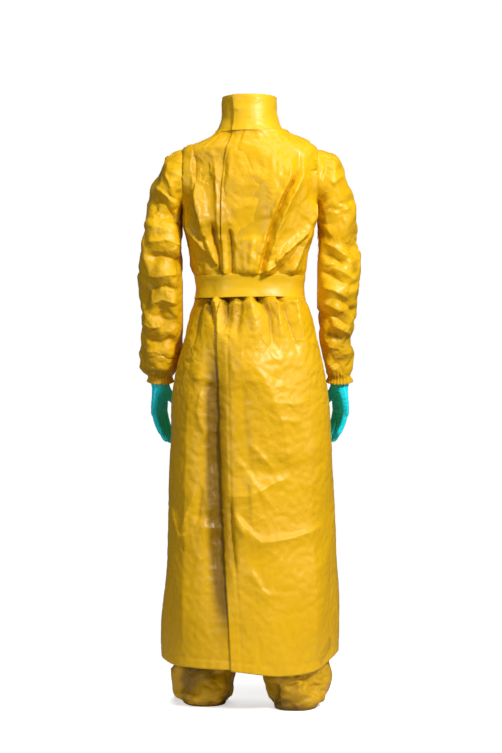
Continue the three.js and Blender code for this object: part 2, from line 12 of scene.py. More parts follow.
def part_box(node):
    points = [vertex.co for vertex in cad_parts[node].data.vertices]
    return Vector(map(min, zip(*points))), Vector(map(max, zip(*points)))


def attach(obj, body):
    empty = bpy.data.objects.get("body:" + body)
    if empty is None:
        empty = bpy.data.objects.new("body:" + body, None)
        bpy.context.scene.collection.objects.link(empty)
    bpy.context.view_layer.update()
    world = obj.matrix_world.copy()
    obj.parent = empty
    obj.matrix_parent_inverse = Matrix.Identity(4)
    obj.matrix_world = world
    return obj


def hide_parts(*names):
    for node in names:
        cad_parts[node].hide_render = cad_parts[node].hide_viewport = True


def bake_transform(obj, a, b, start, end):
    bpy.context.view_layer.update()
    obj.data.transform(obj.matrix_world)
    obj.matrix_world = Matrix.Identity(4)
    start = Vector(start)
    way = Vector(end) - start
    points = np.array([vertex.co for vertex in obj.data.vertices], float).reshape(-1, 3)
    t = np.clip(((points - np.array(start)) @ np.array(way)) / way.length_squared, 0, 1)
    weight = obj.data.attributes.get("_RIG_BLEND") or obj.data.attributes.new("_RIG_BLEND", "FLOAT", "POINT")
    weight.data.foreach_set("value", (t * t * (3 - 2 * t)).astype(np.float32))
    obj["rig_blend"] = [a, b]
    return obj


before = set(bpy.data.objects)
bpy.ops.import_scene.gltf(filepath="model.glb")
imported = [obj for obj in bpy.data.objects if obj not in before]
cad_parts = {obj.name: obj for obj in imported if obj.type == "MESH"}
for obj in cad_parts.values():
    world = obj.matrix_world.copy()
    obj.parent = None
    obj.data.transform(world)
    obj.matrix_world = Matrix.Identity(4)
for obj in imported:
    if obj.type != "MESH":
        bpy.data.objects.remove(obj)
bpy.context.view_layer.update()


# ---- Stage ----
# A pale floor that fades into a white room, four soft lights, and a long lens at hip height.

scene = bpy.context.scene
scene.view_settings.view_transform = "Standard"

camera_data = bpy.data.cameras.new("camera")
camera_data.lens = 85.4
camera_data.sensor_width = 36.0
camera = bpy.data.objects.new("camera", camera_data)
camera.location = (0.0026, -4.6, 0.833)
camera.rotation_euler = (math.radians(90), 0, 0)
scene.collection.objects.link(camera)
scene.camera = camera

world = bpy.data.worlds.new("white_room")
world.use_nodes = True
room = world.node_tree.nodes
fill_light = room["Background"]
fill_light.inputs["Color"].default_value = (0.93, 0.96, 1.0, 1)
fill_light.inputs["Strength"].default_value = 0.10
seen_wall = room.new("ShaderNodeBackground")
seen_wall.inputs["Color"].default_value = (1, 1, 1, 1)
ray = room.new("ShaderNodeLightPath")
pick = room.new("ShaderNodeMixShader")
world.node_tree.links.new(ray.outputs["Is Camera Ray"], pick.inputs["Fac"])
world.node_tree.links.new(fill_light.outputs[0], pick.inputs[1])
world.node_tree.links.new(seen_wall.outputs[0], pick.inputs[2])
world.node_tree.links.new(pick.outputs[0], room["World Output"].inputs["Surface"])
scene.world = world


def soft_light(name, place, aim, size, watts, colour=(1, 1, 1)):
    data = bpy.data.lights.new(name, "AREA")
    data.shape = "RECTANGLE"
    data.size, data.size_y = size
    data.energy = watts
    data.color = colour
    light = bpy.data.objects.new(name, data)
    light.location = place
    light.rotation_euler = (Vector(aim) - Vector(place)).to_track_quat("-Z", "Y").to_euler()
    scene.collection.objects.link(light)


soft_light("key", (1.7, -2.7, 2.9), (0.02, 0, 1.1), (0.5, 0.7), 153)
soft_light("left", (-2.2, -3.2, 1.6), (-0.05, 0, 0.9), (0.7, 1.0), 36)
soft_light("right", (2.9, -1.3, 1.3), (0, 0, 0.8), (0.4, 1.2), 14)
soft_light("front_key", (-0.5, 4.2, 2.1), (0, 0, 0.9), (0.8, 1.0), 60)
soft_light("top", (0.2, -0.7, 3.8), (0, 0, 0.0), (1.6, 1.6), 34)

floor_mesh = bpy.data.meshes.new("floor")
shape = bmesh.new()
bmesh.ops.create_circle(shape, cap_ends=True, segments=96, radius=4.0)
shape.to_mesh(floor_mesh)
shape.free()
floor = bpy.data.objects.new("floor", floor_mesh)
scene.collection.objects.link(floor)
floor_look = bpy.data.materials.new("pale_floor")
floor_look.use_nodes = True
nodes, links = floor_look.node_tree.nodes, floor_look.node_tree.links
paint = nodes["Principled BSDF"]
paint.inputs["Emission Color"].default_value = (1, 1, 1, 1)
floor_ray = nodes.new("ShaderNodeLightPath")
glow = nodes.new("ShaderNodeMath")
glow.operation = "MULTIPLY"
glow.inputs[1].default_value = 0.55
links.new(floor_ray.outputs["Is Camera Ray"], glow.inputs[0])
links.new(glow.outputs[0], paint.inputs["Emission Strength"])
pale = nodes.new("ShaderNodeMix")
pale.data_type = "RGBA"
pale.inputs["A"].default_value = (0.62, 0.62, 0.64, 1)
pale.inputs["B"].default_value = (0.9, 0.9, 0.92, 1)
links.new(floor_ray.outputs["Is Camera Ray"], pale.inputs["Factor"])
links.new(pale.outputs["Result"], paint.inputs["Base Color"])
paint.inputs["Roughness"].default_value = 0.6
clear = nodes.new("ShaderNodeBsdfTransparent")
fade = nodes.new("ShaderNodeMixShader")
spot = nodes.new("ShaderNodeTexCoord")
reach = nodes.new("ShaderNodeVectorMath")
reach.operation = "LENGTH"
ramp = nodes.new("ShaderNodeMapRange")
ramp.inputs["From Min"].default_value = 0.35
ramp.inputs["From Max"].default_value = 1.1
ramp.interpolation_type = "SMOOTHSTEP"
links.new(spot.outputs["Object"], reach.inputs[0])
links.new(reach.outputs["Value"], ramp.inputs["Value"])
links.new(ramp.outputs["Result"], fade.inputs["Fac"])
links.new(paint.outputs[0], fade.inputs[1])
links.new(clear.outputs[0], fade.inputs[2])
links.new(fade.outputs[0], nodes["Material Output"].inputs["Surface"])
floor_mesh.materials.append(floor_look)


# ---- Gown: cloth ----
# Thin nonwoven with a glossy yellow film on the outside and a paler matt inside. It creases sharply
# and keeps its creases, so the film carries fine facets everywhere.

FILM = 0.0009


def maths(tree, operation, a, b=None, c=None):
    node = tree.nodes.new("ShaderNodeMath")
    node.operation = operation
    for socket, value in zip(node.inputs, (a, b, c)):
        if isinstance(value, (int, float)):
            socket.default_value = value
        elif value is not None:
            tree.links.new(value, socket)
    return node.outputs[0]


def node_group(name, inputs, outputs):
    group = bpy.data.node_groups.new(name, "ShaderNodeTree")
    for label, value in inputs.items():
        socket = group.interface.new_socket(label, in_out="INPUT", socket_type="NodeSocketFloat")
        socket.default_value = value
    for label in outputs:
        group.interface.new_socket(label, in_out="OUTPUT", socket_type="NodeSocketFloat")
    return group, group.nodes.new("NodeGroupInput"), group.nodes.new("NodeGroupOutput")


# Creased film, in metres: planes that meet in long sharp ridges and valleys, finer ones over them in
# patches, and a grain.
creased, creased_in, creased_out = node_group(
    "creased_film",
    {"Facet Size": 0.05, "Facet Slope": 0.1, "Fine Size": 0.014, "Fine Slope": 0.1, "Grain": 0.00003},
    ("Height", "Patches"),
)
where = creased.nodes.new("ShaderNodeTexCoord")
sway = creased.nodes.new("ShaderNodeTexNoise")
sway.inputs["Scale"].default_value = 11
sway.inputs["Detail"].default_value = 3
bent = creased.nodes.new("ShaderNodeVectorMath")
bent.operation = "MULTIPLY_ADD"
bent.inputs[1].default_value = (0.035, 0.035, 0.035)
creased.links.new(where.outputs["Object"], sway.inputs["Vector"])
creased.links.new(sway.outputs["Color"], bent.inputs[0])
creased.links.new(where.outputs["Object"], bent.inputs[2])
patches = creased.nodes.new("ShaderNodeTexNoise")
patches.inputs["Scale"].default_value = 7
patches.inputs["Detail"].default_value = 2
creased.links.new(where.outputs["Object"], patches.inputs["Vector"])
patch = creased.nodes.new("ShaderNodeMapRange")
patch.inputs["From Min"].default_value = 0.38
patch.inputs["From Max"].default_value = 0.66
creased.links.new(patches.outputs["Fac"], patch.inputs["Value"])
layers = []
for size, slope in (("Facet Size", "Facet Slope"), ("Fine Size", "Fine Slope")):
    bends = []
    for shift in (0.0, 3.7):
        apart = creased.nodes.new("ShaderNodeVectorMath")
        apart.inputs[1].default_value = (shift, shift * 0.6, shift * 1.3)
        wave = creased.nodes.new("ShaderNodeTexNoise")
        wave.inputs["Detail"].default_value = 0.6
        creased.links.new(bent.outputs[0], apart.inputs[0])
        creased.links.new(apart.outputs[0], wave.inputs["Vector"])
        creased.links.new(maths(creased, "DIVIDE", 0.55, creased_in.outputs[size]), wave.inputs["Scale"])
        bends.append(maths(creased, "ABSOLUTE", maths(creased, "SUBTRACT", wave.outputs["Fac"], 0.5)))
    rise = maths(creased, "SUBTRACT", bends[0], bends[1])
    roof = maths(creased, "MULTIPLY", rise, creased_in.outputs[size])
    steep = maths(creased, "MULTIPLY", creased_in.outputs[slope], 1.8)
    layers.append(maths(creased, "MULTIPLY", roof, steep))
grain = creased.nodes.new("ShaderNodeTexNoise")
grain.inputs["Scale"].default_value = 420
grain.inputs["Detail"].default_value = 3
creased.links.new(where.outputs["Object"], grain.inputs["Vector"])
fine = maths(creased, "MULTIPLY", layers[1], patch.outputs[0])
speck = maths(creased, "MULTIPLY", grain.outputs["Fac"], creased_in.outputs["Grain"])
total = maths(creased, "ADD", maths(creased, "ADD", layers[0], fine), speck)
creased.links.new(total, creased_out.inputs["Height"])
creased.links.new(patch.outputs[0], creased_out.inputs["Patches"])


def coated_look(
    name, colour, facet, facet_slope, fine, fine_slope, gloss=0.42, calm_below=-9, lining=(0.80, 0.58, 0.16)
):
    """Yellow film outside. The inside, on the wall's second slot, is the bare nonwoven."""
    looks = []
    for face in ("film", "lining"):
        look = bpy.data.materials.new(f"{name}_{face}")
        look.use_nodes = True
        tree = look.node_tree
        shader = tree.nodes["Principled BSDF"]
        film = tree.nodes.new("ShaderNodeGroup")
        film.node_tree = creased
        film.inputs["Facet Size"].default_value = facet
        film.inputs["Fine Size"].default_value = fine
        tall = tree.nodes.new("ShaderNodeTexCoord")
        split = tree.nodes.new("ShaderNodeSeparateXYZ")
        tree.links.new(tall.outputs["Object"], split.inputs[0])
        for label, slope in (("Facet Slope", facet_slope), ("Fine Slope", fine_slope)):
            calm = tree.nodes.new("ShaderNodeMapRange")
            calm.inputs["From Min"].default_value = calm_below - 0.1
            calm.inputs["From Max"].default_value = calm_below + 0.1
            calm.inputs["To Min"].default_value = slope * 0.4
            calm.inputs["To Max"].default_value = slope
            tree.links.new(split.outputs["Z"], calm.inputs["Value"])
            tree.links.new(calm.outputs[0], film.inputs[label])
        bump = tree.nodes.new("ShaderNodeBump")
        bump.inputs["Distance"].default_value = 1.0
        tree.links.new(film.outputs["Height"], bump.inputs["Height"])
        tree.links.new(bump.outputs["Normal"], shader.inputs["Normal"])
        clouds = tree.nodes.new("ShaderNodeTexNoise")
        clouds.inputs["Scale"].default_value = 6
        clouds.inputs["Detail"].default_value = 6
        spot = tree.nodes.new("ShaderNodeTexCoord")
        tree.links.new(spot.outputs["Object"], clouds.inputs["Vector"])
        tint = tree.nodes.new("ShaderNodeMix")
        tint.data_type = "RGBA"
        base = colour if face == "film" else lining
        tint.inputs["A"].default_value = (base[0] * 0.92, base[1] * 0.88, base[2], 1)
        tint.inputs["B"].default_value = (min(1, base[0] * 1.05), base[1] * 1.09, base[2], 1)
        tree.links.new(clouds.outputs["Fac"], tint.inputs["Factor"])
        # Painted shade: the film's colour is mixed towards a dark brown where the painted fold shade attribute
        # is set, in folds and creases, standing in for their shade.
        painted_fold_shade = tree.nodes.new("ShaderNodeAttribute")
        painted_fold_shade.attribute_name = "painted_fold_shade"
        painted_shade = tree.nodes.new("ShaderNodeMix")
        painted_shade.data_type = "RGBA"
        painted_shade.inputs["B"].default_value = (base[0] * 0.18, base[1] * 0.155, base[2] * 0.15, 1)
        tree.links.new(painted_fold_shade.outputs["Fac"], painted_shade.inputs["Factor"])
        tree.links.new(tint.outputs["Result"], painted_shade.inputs["A"])
        tree.links.new(painted_shade.outputs["Result"], shader.inputs["Base Color"])
        rough = tree.nodes.new("ShaderNodeMapRange")
        rough.inputs["To Min"].default_value = gloss - 0.06 if face == "film" else 0.7
        rough.inputs["To Max"].default_value = gloss + 0.1 if face == "film" else 0.85
        tree.links.new(film.outputs["Patches"], rough.inputs["Value"])
        tree.links.new(rough.outputs[0], shader.inputs["Roughness"])
        shader.inputs["IOR"].default_value = 1.46
        shader.inputs["Specular IOR Level"].default_value = 0.34
        looks.append(look)
    return looks


YELLOW = (0.71, 0.392, 0.002)
gown_looks = coated_look("gown", YELLOW, 0.055, 0.13, 0.012, 0.26, calm_below=0.8)
sleeve_looks = coated_look("sleeve", YELLOW, 0.04, 0.18, 0.011, 0.32)


def hermite(rows, at):
    """A table of [key, value, value, ...] as smooth curves, read at many keys at once."""
    table = np.array(rows, float)
    keys, values = table[:, 0], table[:, 1:]
    slopes = np.gradient(values, keys, axis=0)
    at = np.clip(at, keys[0], keys[-1])
    below = np.clip(np.searchsorted(keys, at) - 1, 0, len(keys) - 2)
    gap = (keys[below + 1] - keys[below])[..., None]
    t = (at - keys[below])[..., None] / gap
    return (
        values[below] * (2 * t**3 - 3 * t**2 + 1)
        + slopes[below] * gap * (t**3 - 2 * t**2 + t)
        + values[below + 1] * (3 * t**2 - 2 * t**3)
        + slopes[below + 1] * gap * (t**3 - t**2)
    )


def smooth(low, high, value):
    t = np.clip((value - low) / (high - low), 0, 1)
    return t * t * (3 - 2 * t)


def oval(angle, half_width, back, front, square):
    """A point at an angle on a rounded rectangle, 0 on +X and 90 on +Y."""
    c, s = np.cos(np.radians(angle)), np.sin(np.radians(angle))
    power = 2 / square
    depth = np.where(s < 0, back, front)
    x = np.sign(c) * np.abs(c) ** power * half_width
    return x, np.sign(s) * np.abs(s) ** power * depth


def cloth_grid(name, columns, rows):
    """A flat sheet of square cells, and each corner's place across and along it, from 0 to 1."""
    shape = bmesh.new()
    bmesh.ops.create_grid(shape, x_segments=columns, y_segments=rows, size=0.5)
    mesh = bpy.data.meshes.new(name)
    shape.to_mesh(mesh)
    shape.free()
    flat = corners(mesh)
    cloth = bpy.data.objects.new(name, mesh)
    scene.collection.objects.link(cloth)
    return cloth, flat[:, 0] + 0.5, flat[:, 1] + 0.5


def cloth_tube(name, columns, rows):
    """A tube of square cells, open at both ends, and each corner's angle round it and place up it."""
    shape = bmesh.new()
    bmesh.ops.create_cone(shape, cap_ends=False, segments=columns, radius1=0.5, radius2=0.5, depth=1)
    upright = [e for e in shape.edges if abs(e.verts[0].co.z - e.verts[1].co.z) > 0.5]
    bmesh.ops.subdivide_edges(shape, edges=upright, cuts=rows - 1, use_grid_fill=True)
    mesh = bpy.data.meshes.new(name)
    shape.to_mesh(mesh)
    shape.free()
    flat = corners(mesh)
    tube = bpy.data.objects.new(name, mesh)
    scene.collection.objects.link(tube)
    return tube, np.degrees(np.arctan2(flat[:, 1], flat[:, 0])) % 360, flat[:, 2] + 0.5


def flip_if_inward(cloth, outward):
    shape = bmesh.new()
    shape.from_mesh(cloth.data)
    shape.faces.ensure_lookup_table()
    shape.normal_update()
    if sum(f.normal.dot(Vector(outward)) for f in shape.faces) < 0:
        bmesh.ops.reverse_faces(shape, faces=shape.faces)
        shape.to_mesh(cloth.data)
    shape.free()


def corners(mesh):
    flat = np.empty(len(mesh.vertices) * 3, np.float32)
    mesh.vertices.foreach_get("co", flat)
    return flat.reshape(-1, 3).astype(float)


def place(mesh, points):
    mesh.vertices.foreach_set("co", points.astype(np.float32).ravel())
    mesh.update()


def normals(mesh):
    flat = np.empty(len(mesh.vertices) * 3, np.float32)
    mesh.vertices.foreach_get("normal", flat)
    return flat.reshape(-1, 3).astype(float)


def ripples(points, size, seed, stretch=(1, 1, 1)):
    """Smooth noise, one value for each point."""
    offset = Vector((seed * 7.3, seed * 3.1, seed * 5.7))
    scale = Vector(stretch) / size
    return np.array([noise.noise(Vector(p) * scale + offset) for p in points])


def buckle(
    cloth, hold, grow, frames, bending, stiffness=15.0, seed=1, jitter=0.0006, cap=0.02, gravity=0.0
):
    """Cloth cut larger than its place buckles into it. hold is how firmly each corner keeps its place."""
    mesh = cloth.data
    start = corners(mesh)
    place(mesh, start + normals(mesh) * (jitter * ripples(start, 0.013, seed))[:, None])
    held = cloth.vertex_groups.new(name="hold")
    for level in np.unique(np.round(hold, 2)):
        chosen = np.nonzero(np.round(hold, 2) == level)[0].tolist()
        held.add(chosen, float(level), "REPLACE")
    sim = cloth.modifiers.new("buckle", "CLOTH")
    settings = sim.settings
    settings.quality = 6
    settings.mass = 0.15
    settings.tension_stiffness = stiffness
    settings.compression_stiffness = stiffness
    settings.shear_stiffness = stiffness * 0.5
    settings.bending_stiffness = bending
    settings.tension_damping = settings.compression_damping = settings.shear_damping = 5
    settings.air_damping = 2
    settings.vertex_group_mass = "hold"
    settings.pin_stiffness = 1.0
    settings.shrink_min = settings.shrink_max = -grow
    settings.effector_weights.gravity = gravity
    sim.collision_settings.use_collision = False
    sim.point_cache.frame_start, sim.point_cache.frame_end = 1, frames
    for step in range(1, frames + 1):
        scene.frame_set(step)
    after = corners(cloth.evaluated_get(bpy.context.evaluated_depsgraph_get()).data)
    cloth.modifiers.remove(sim)
    cloth.vertex_groups.clear()
    scene.frame_set(1)
    moved = after - start
    far = np.linalg.norm(moved, axis=1, keepdims=True) + 1e-9
    place(mesh, start + moved / far * cap * np.tanh(far / cap))


def paint_fold_shade(cloth, depth, darkest=0.85):
    """Keeps painted shade for each corner from how far down in a fold it lies: the film's colour there is
    darkened, standing in for the fold's shade.
    """
    painted_fold_shade = cloth.data.attributes.new("painted_fold_shade", "FLOAT", "POINT")
    painted_fold_shade.data.foreach_set("value", (np.clip(depth, 0, 1) * darkest).astype(np.float32))


def finer(cloth):
    """One Catmull-Clark step, kept."""
    step = cloth.modifiers.new("finer", "SUBSURF")
    step.levels = step.render_levels = 1
    made = bpy.data.meshes.new_from_object(cloth.evaluated_get(bpy.context.evaluated_depsgraph_get()))
    cloth.modifiers.clear()
    old, cloth.data = cloth.data, made
    made.name = old.name
    bpy.data.meshes.remove(old)


def sew_through(cloth, wall, looks, inward=True):
    """Smooth shading, a wall of that thickness, and the film and lining on its two faces."""
    mesh = cloth.data
    mesh.polygons.foreach_set("use_smooth", np.ones(len(mesh.polygons), bool))
    mesh.materials.clear()
    for look in looks:
        mesh.materials.append(look)
    thick = cloth.modifiers.new("wall", "SOLIDIFY")
    thick.thickness = wall
    thick.offset = -1 if inward else 0
    thick.material_offset = len(looks) - 1
    thick.material_offset_rim = 0


# ---- Gown: front and back panels ----
# One front panel and two back panels, heat-sealed at the sides and shoulders. The right back panel
# laps over the left one from collar to hem, and the belt gathers all three at the waist.

HEM_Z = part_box("front_panel")[0].z
NECK_Z = 1.458
WAIST_Z = (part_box("belt_band")[0].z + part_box("belt_band")[1].z) / 2
ARMHOLE_Z = (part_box("armhole_seam_tape_right")[0].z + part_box("armhole_seam_tape_right")[1].z) / 2
ARMHOLE_RADIUS = 0.0785
SIDE_X = 0.1725
LAP = 0.005

# Height, half width, back depth, front depth, squareness and the free edge's x.
gown_rows = [
    (HEM_Z, 0.224, 0.200, 0.205, 2.2, -0.046),
    (0.230, 0.221, 0.192, 0.197, 2.2, -0.052),
    (0.348, 0.215, 0.185, 0.189, 2.2, -0.062),
    (0.604, 0.206, 0.165, 0.169, 2.2, -0.076),
    (0.823, 0.197, 0.151, 0.155, 2.2, -0.080),
    (0.928, 0.173, 0.137, 0.139, 2.25, -0.080),
    (1.004, 0.150, 0.117, 0.120, 2.3, -0.073),
    (1.028, 0.140, 0.108, 0.112, 2.3, -0.066),
    (WAIST_Z, 0.135, 0.102, 0.108, 2.3, -0.062),
    (1.094, 0.139, 0.106, 0.111, 2.3, -0.064),
    (1.180, 0.157, 0.121, 0.122, 2.4, -0.070),
    (1.264, 0.169, 0.128, 0.124, 3.0, -0.072),
    (ARMHOLE_Z, 0.170, 0.122, 0.116, 3.4, -0.070),
    (1.380, 0.170, 0.108, 0.102, 3.2, -0.066),
    (1.424, 0.1675, 0.086, 0.078, 2.6, -0.056),
    (1.434, 0.1420, 0.081, 0.075, 2.4, -0.051),
    (1.444, 0.1150, 0.078, 0.073, 2.2, -0.047),
    (1.453, 0.0975, 0.077, 0.073, 2.1, -0.044),
    (NECK_Z + 0.004, 0.0905, 0.077, 0.073, 2.0, -0.043),
]
OVER_COLUMNS, FRONT_COLUMNS, UNDER_COLUMNS = 60, 62, 58
GOWN_COLUMNS = OVER_COLUMNS + FRONT_COLUMNS + UNDER_COLUMNS
GOWN_ROWS = 185
UNDER_END = 665
BELT_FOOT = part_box("belt_band")[0].z

gown, across, along = cloth_grid("gown_sheet", GOWN_COLUMNS, GOWN_ROWS)
column = np.round(across * GOWN_COLUMNS).astype(int)

# Rows are evenly spaced along the cloth at the side, over the shoulder too.
dense = np.linspace(HEM_Z, NECK_Z + 0.004, 2000)
side = hermite(gown_rows, dense)[:, 0]
length = np.concatenate([[0], np.cumsum(np.hypot(np.diff(side), np.diff(dense)))])
height = np.interp(along, length / length[-1], dense)
half_width, back, front, square, edge = hermite(gown_rows, height).T
edge_angle = 180 + np.degrees(np.arccos((np.abs(edge) / half_width) ** (square / 2)))
angle = np.where(
    column <= OVER_COLUMNS,
    edge_angle + (360 - edge_angle) * column / OVER_COLUMNS,
    np.where(
        column <= OVER_COLUMNS + FRONT_COLUMNS,
        360 + 180 * (column - OVER_COLUMNS) / FRONT_COLUMNS,
        540 + (UNDER_END - 540) * (column - OVER_COLUMNS - FRONT_COLUMNS) / UNDER_COLUMNS,
    ),
)
x, y = oval(angle, half_width, back, front, square)
out = np.stack([x / half_width**2, y / np.where(y < 0, back, front) ** 2, 0 * x], axis=1)
out /= np.linalg.norm(out, axis=1, keepdims=True)
is_over = column <= OVER_COLUMNS
is_under = column > OVER_COLUMNS + FRONT_COLUMNS
lift = np.where(is_over, LAP * (1 - smooth(308, 345, angle)), 0)


def line_distance(px, pz, points):
    """Distance to a line of points, the share along it, and the side on which each point lies."""
    best = np.full(len(px), 1e9)
    share, side = np.zeros(len(px)), np.zeros(len(px))
    total = sum(math.dist(a, b) for a, b in zip(points, points[1:]))
    done = 0
    for a, b in zip(points, points[1:]):
        span = math.dist(a, b)
        ux, uz = (b[0] - a[0]) / span, (b[1] - a[1]) / span
        t = np.clip((px - a[0]) * ux + (pz - a[1]) * uz, 0, span)
        dx, dz = px - a[0] - t * ux, pz - a[1] - t * uz
        d = np.hypot(dx, dz)
        closer = d < best
        best = np.where(closer, d, best)
        share = np.where(closer, (done + t) / total, share)
        side = np.where(closer, np.sign(dx * uz - dz * ux), side)
        done += span
    return best, share, side


def fold(px, pz, points, rise, widths, fade=(0.25, 0.25)):
    """A sharp fold along a line, falling off over widths left and right of it and fading at its ends."""
    d, share, side = line_distance(px, pz, points)
    width = np.where(side < 0, widths[0], widths[1])
    ends = np.ones(len(px))
    if fade[0]:
        ends *= smooth(0, fade[0], share)
    if fade[1]:
        ends *= smooth(0, fade[1], 1 - share)
    beyond = np.exp(-d / width) * (1 + 0.25 * d / width)
    return rise * ends * beyond


def crumpled(points, centres, seed, reach, slope, lean=(1, 1, 1)):
    """Crushed cloth: each centre adds a straight crease, flat on both sides, that dies out at its reach."""
    chance = np.random.default_rng(seed)
    raised = np.zeros(len(points))
    for centre in centres:
        across_crease = chance.normal(size=3) * lean
        across_crease /= np.linalg.norm(across_crease)
        size = reach * (0.6 + 0.8 * chance.random())
        up_or_down = slope * chance.choice((-1.0, 1.0)) * (0.5 + chance.random())
        near = np.nonzero(np.abs(points[:, 2] - centre[2]) < 2.2 * size)[0]
        away = points[near] - centre
        window = np.exp(-np.einsum("ij,ij->i", away, away) / size**2)
        raised[near] += up_or_down * np.abs(away @ across_crease) * window
    return raised


BACK_FOLDS = [
    # Bodice, left: two ridges and their valleys, from the shoulder and armhole down to the belt.
    ([(-0.170, 1.256), (-0.141, 1.200), (-0.113, 1.158), (-0.063, 1.092)], 0.013, (0.020, 0.007)),
    ([(-0.173, 1.300), (-0.140, 1.240), (-0.106, 1.150), (-0.068, 1.095)], -0.011, (0.010, 0.016)),
    ([(-0.160, 1.350), (-0.132, 1.290), (-0.114, 1.205), (-0.076, 1.100)], 0.013, (0.010, 0.030)),
    ([(-0.102, 1.230), (-0.092, 1.180), (-0.074, 1.105)], -0.017, (0.008, 0.018)),
    ([(-0.100, 1.420), (-0.088, 1.340), (-0.084, 1.250), (-0.078, 1.180)], 0.007, (0.018, 0.012)),
    # Bodice, right: the deep crease, the ridge beside it, and the folds from the armhole.
    ([(0.128, 1.402), (0.121, 1.340), (0.090, 1.288), (0.060, 1.218), (0.026, 1.100)], -0.016, (0.008, 0.010)),
    ([(0.140, 1.400), (0.132, 1.335), (0.102, 1.280), (0.074, 1.215), (0.040, 1.105)], 0.010, (0.010, 0.020)),
    ([(0.108, 1.400), (0.100, 1.330), (0.066, 1.262), (0.040, 1.190), (0.014, 1.100)], 0.008, (0.022, 0.010)),
    ([(0.178, 1.318), (0.153, 1.233), (0.133, 1.195), (0.083, 1.150), (0.038, 1.095)], 0.011, (0.012, 0.007)),
    ([(0.172, 1.270), (0.140, 1.190), (0.092, 1.118), (0.070, 1.098)], -0.008, (0.008, 0.014)),
    ([(0.155, 1.215), (0.120, 1.145), (0.098, 1.100)], 0.007, (0.010, 0.010)),
    ([(-0.055, 1.218), (-0.045, 1.095)], -0.011, (0.008, 0.012)),
    ([(-0.167, 1.276), (-0.133, 1.218), (-0.113, 1.192)], 0.006, (0.012, 0.005)),
    ([(-0.148, 1.318), (-0.125, 1.257), (-0.109, 1.203)], 0.007, (0.014, 0.005)),
    ([(0.010, 1.190), (-0.002, 1.100)], 0.006, (0.012, 0.016)),
]
GATHERS = [
    # Below the belt: pleats that open downwards.
    ([(-0.106, 1.030), (-0.094, 0.985), (-0.086, 0.945)], -0.013, (0.009, 0.008)),
    ([(-0.060, 1.030), (-0.058, 0.975), (-0.072, 0.920)], -0.015, (0.012, 0.010)),
    ([(-0.084, 1.030), (-0.078, 0.960), (-0.074, 0.900)], 0.009, (0.012, 0.012)),
    ([(0.022, 1.030), (0.050, 0.985), (0.056, 0.920), (0.024, 0.876)], -0.014, (0.014, 0.008)),
    ([(0.000, 1.030), (0.012, 0.960), (0.010, 0.890)], 0.010, (0.022, 0.018)),
    ([(0.077, 1.030), (0.090, 0.985), (0.126, 0.870)], -0.011, (0.009, 0.010)),
    ([(0.066, 1.030), (0.074, 0.960), (0.080, 0.890)], 0.009, (0.014, 0.014)),
    ([(0.104, 1.030), (0.120, 0.960), (0.140, 0.900)], 0.008, (0.014, 0.014)),
    ([(-0.128, 1.030), (-0.138, 0.950), (-0.142, 0.880)], -0.009, (0.012, 0.012)),
    ([(-0.020, 1.030), (-0.030, 0.960), (-0.030, 0.900)], -0.008, (0.012, 0.010)),
]
HOLES = [
    # Where the belt's lower edge stands off, the cloth dives in behind it.
    ([(-0.104, 1.040), (-0.102, 1.014)], -0.020, (0.004, 0.005)),
    ([(-0.060, 1.040), (-0.056, 1.008)], -0.026, (0.008, 0.007)),
    ([(-0.018, 1.040), (-0.016, 1.014)], -0.022, (0.007, 0.009)),
    ([(0.016, 1.040), (0.020, 1.006)], -0.026, (0.010, 0.007)),
    ([(0.068, 1.040), (0.072, 1.012)], -0.022, (0.007, 0.006)),
    ([(0.098, 1.040), (0.102, 1.016)], -0.016, (0.005, 0.005)),
]
SKIRT_FOLDS = [
    # Long planes: the valley beside the free edge, and the break that slants down to the right.
    ([(-0.060, 0.915), (0.036, 0.830), (0.080, 0.715), (0.102, 0.590)], 0.007, (0.050, 0.060)),
    ([(-0.020, 0.860), (-0.010, 0.700), (0.010, 0.560)], -0.007, (0.030, 0.030)),
    ([(-0.150, 0.900), (-0.155, 0.700), (-0.160, 0.400), (-0.165, 0.120)], 0.006, (0.030, 0.030)),
    ([(0.130, 0.780), (0.150, 0.500), (0.160, 0.120)], 0.005, (0.040, 0.040)),
]
CREASES = [
    # Sharp lines left by packing.
    ([(-0.072, 0.538), (0.000, 0.536), (0.068, 0.573), (0.112, 0.586)], 0.0035, (0.007, 0.016)),
    ([(-0.045, 0.498), (0.028, 0.423), (0.105, 0.433), (0.198, 0.466)], 0.0055, (0.006, 0.020)),
    ([(-0.040, 0.500), (-0.008, 0.432)], 0.0035, (0.006, 0.014)),
    ([(-0.030, 0.500), (0.025, 0.426)], -0.003, (0.010, 0.006)),
    ([(0.000, 0.620), (0.008, 0.444)], 0.003, (0.020, 0.005)),
    ([(-0.010, 0.680), (0.070, 0.590)], 0.003, (0.006, 0.016)),
    ([(-0.008, 0.372), (0.030, 0.308), (0.062, 0.282)], 0.003, (0.005, 0.012)),
    ([(-0.051, 0.541), (-0.045, 0.441), (-0.035, 0.333)], -0.006, (0.004, 0.007)),
    ([(-0.121, 0.568), (-0.135, 0.460)], -0.005, (0.012, 0.005)),
    ([(-0.121, 0.568), (-0.150, 0.500), (-0.172, 0.430)], 0.004, (0.005, 0.014)),
    ([(-0.198, 0.510), (-0.174, 0.430), (-0.135, 0.446)], 0.004, (0.006, 0.014)),
    ([(-0.130, 0.458), (-0.070, 0.458)], 0.003, (0.006, 0.012)),
    ([(-0.121, 0.568), (-0.100, 0.480)], 0.003, (0.008, 0.005)),
    ([(-0.150, 0.830), (-0.110, 0.826), (-0.080, 0.820)], 0.003, (0.008, 0.008)),
    ([(-0.118, 0.820), (-0.128, 0.740), (-0.110, 0.660)], 0.004, (0.016, 0.006)),
    ([(0.040, 0.770), (0.110, 0.764), (0.150, 0.780)], 0.003, (0.008, 0.016)),
    ([(0.060, 0.725), (0.130, 0.722)], 0.0025, (0.006, 0.012)),
    ([(-0.040, 0.640), (0.020, 0.560), (0.060, 0.505)], 0.0025, (0.005, 0.014)),
]
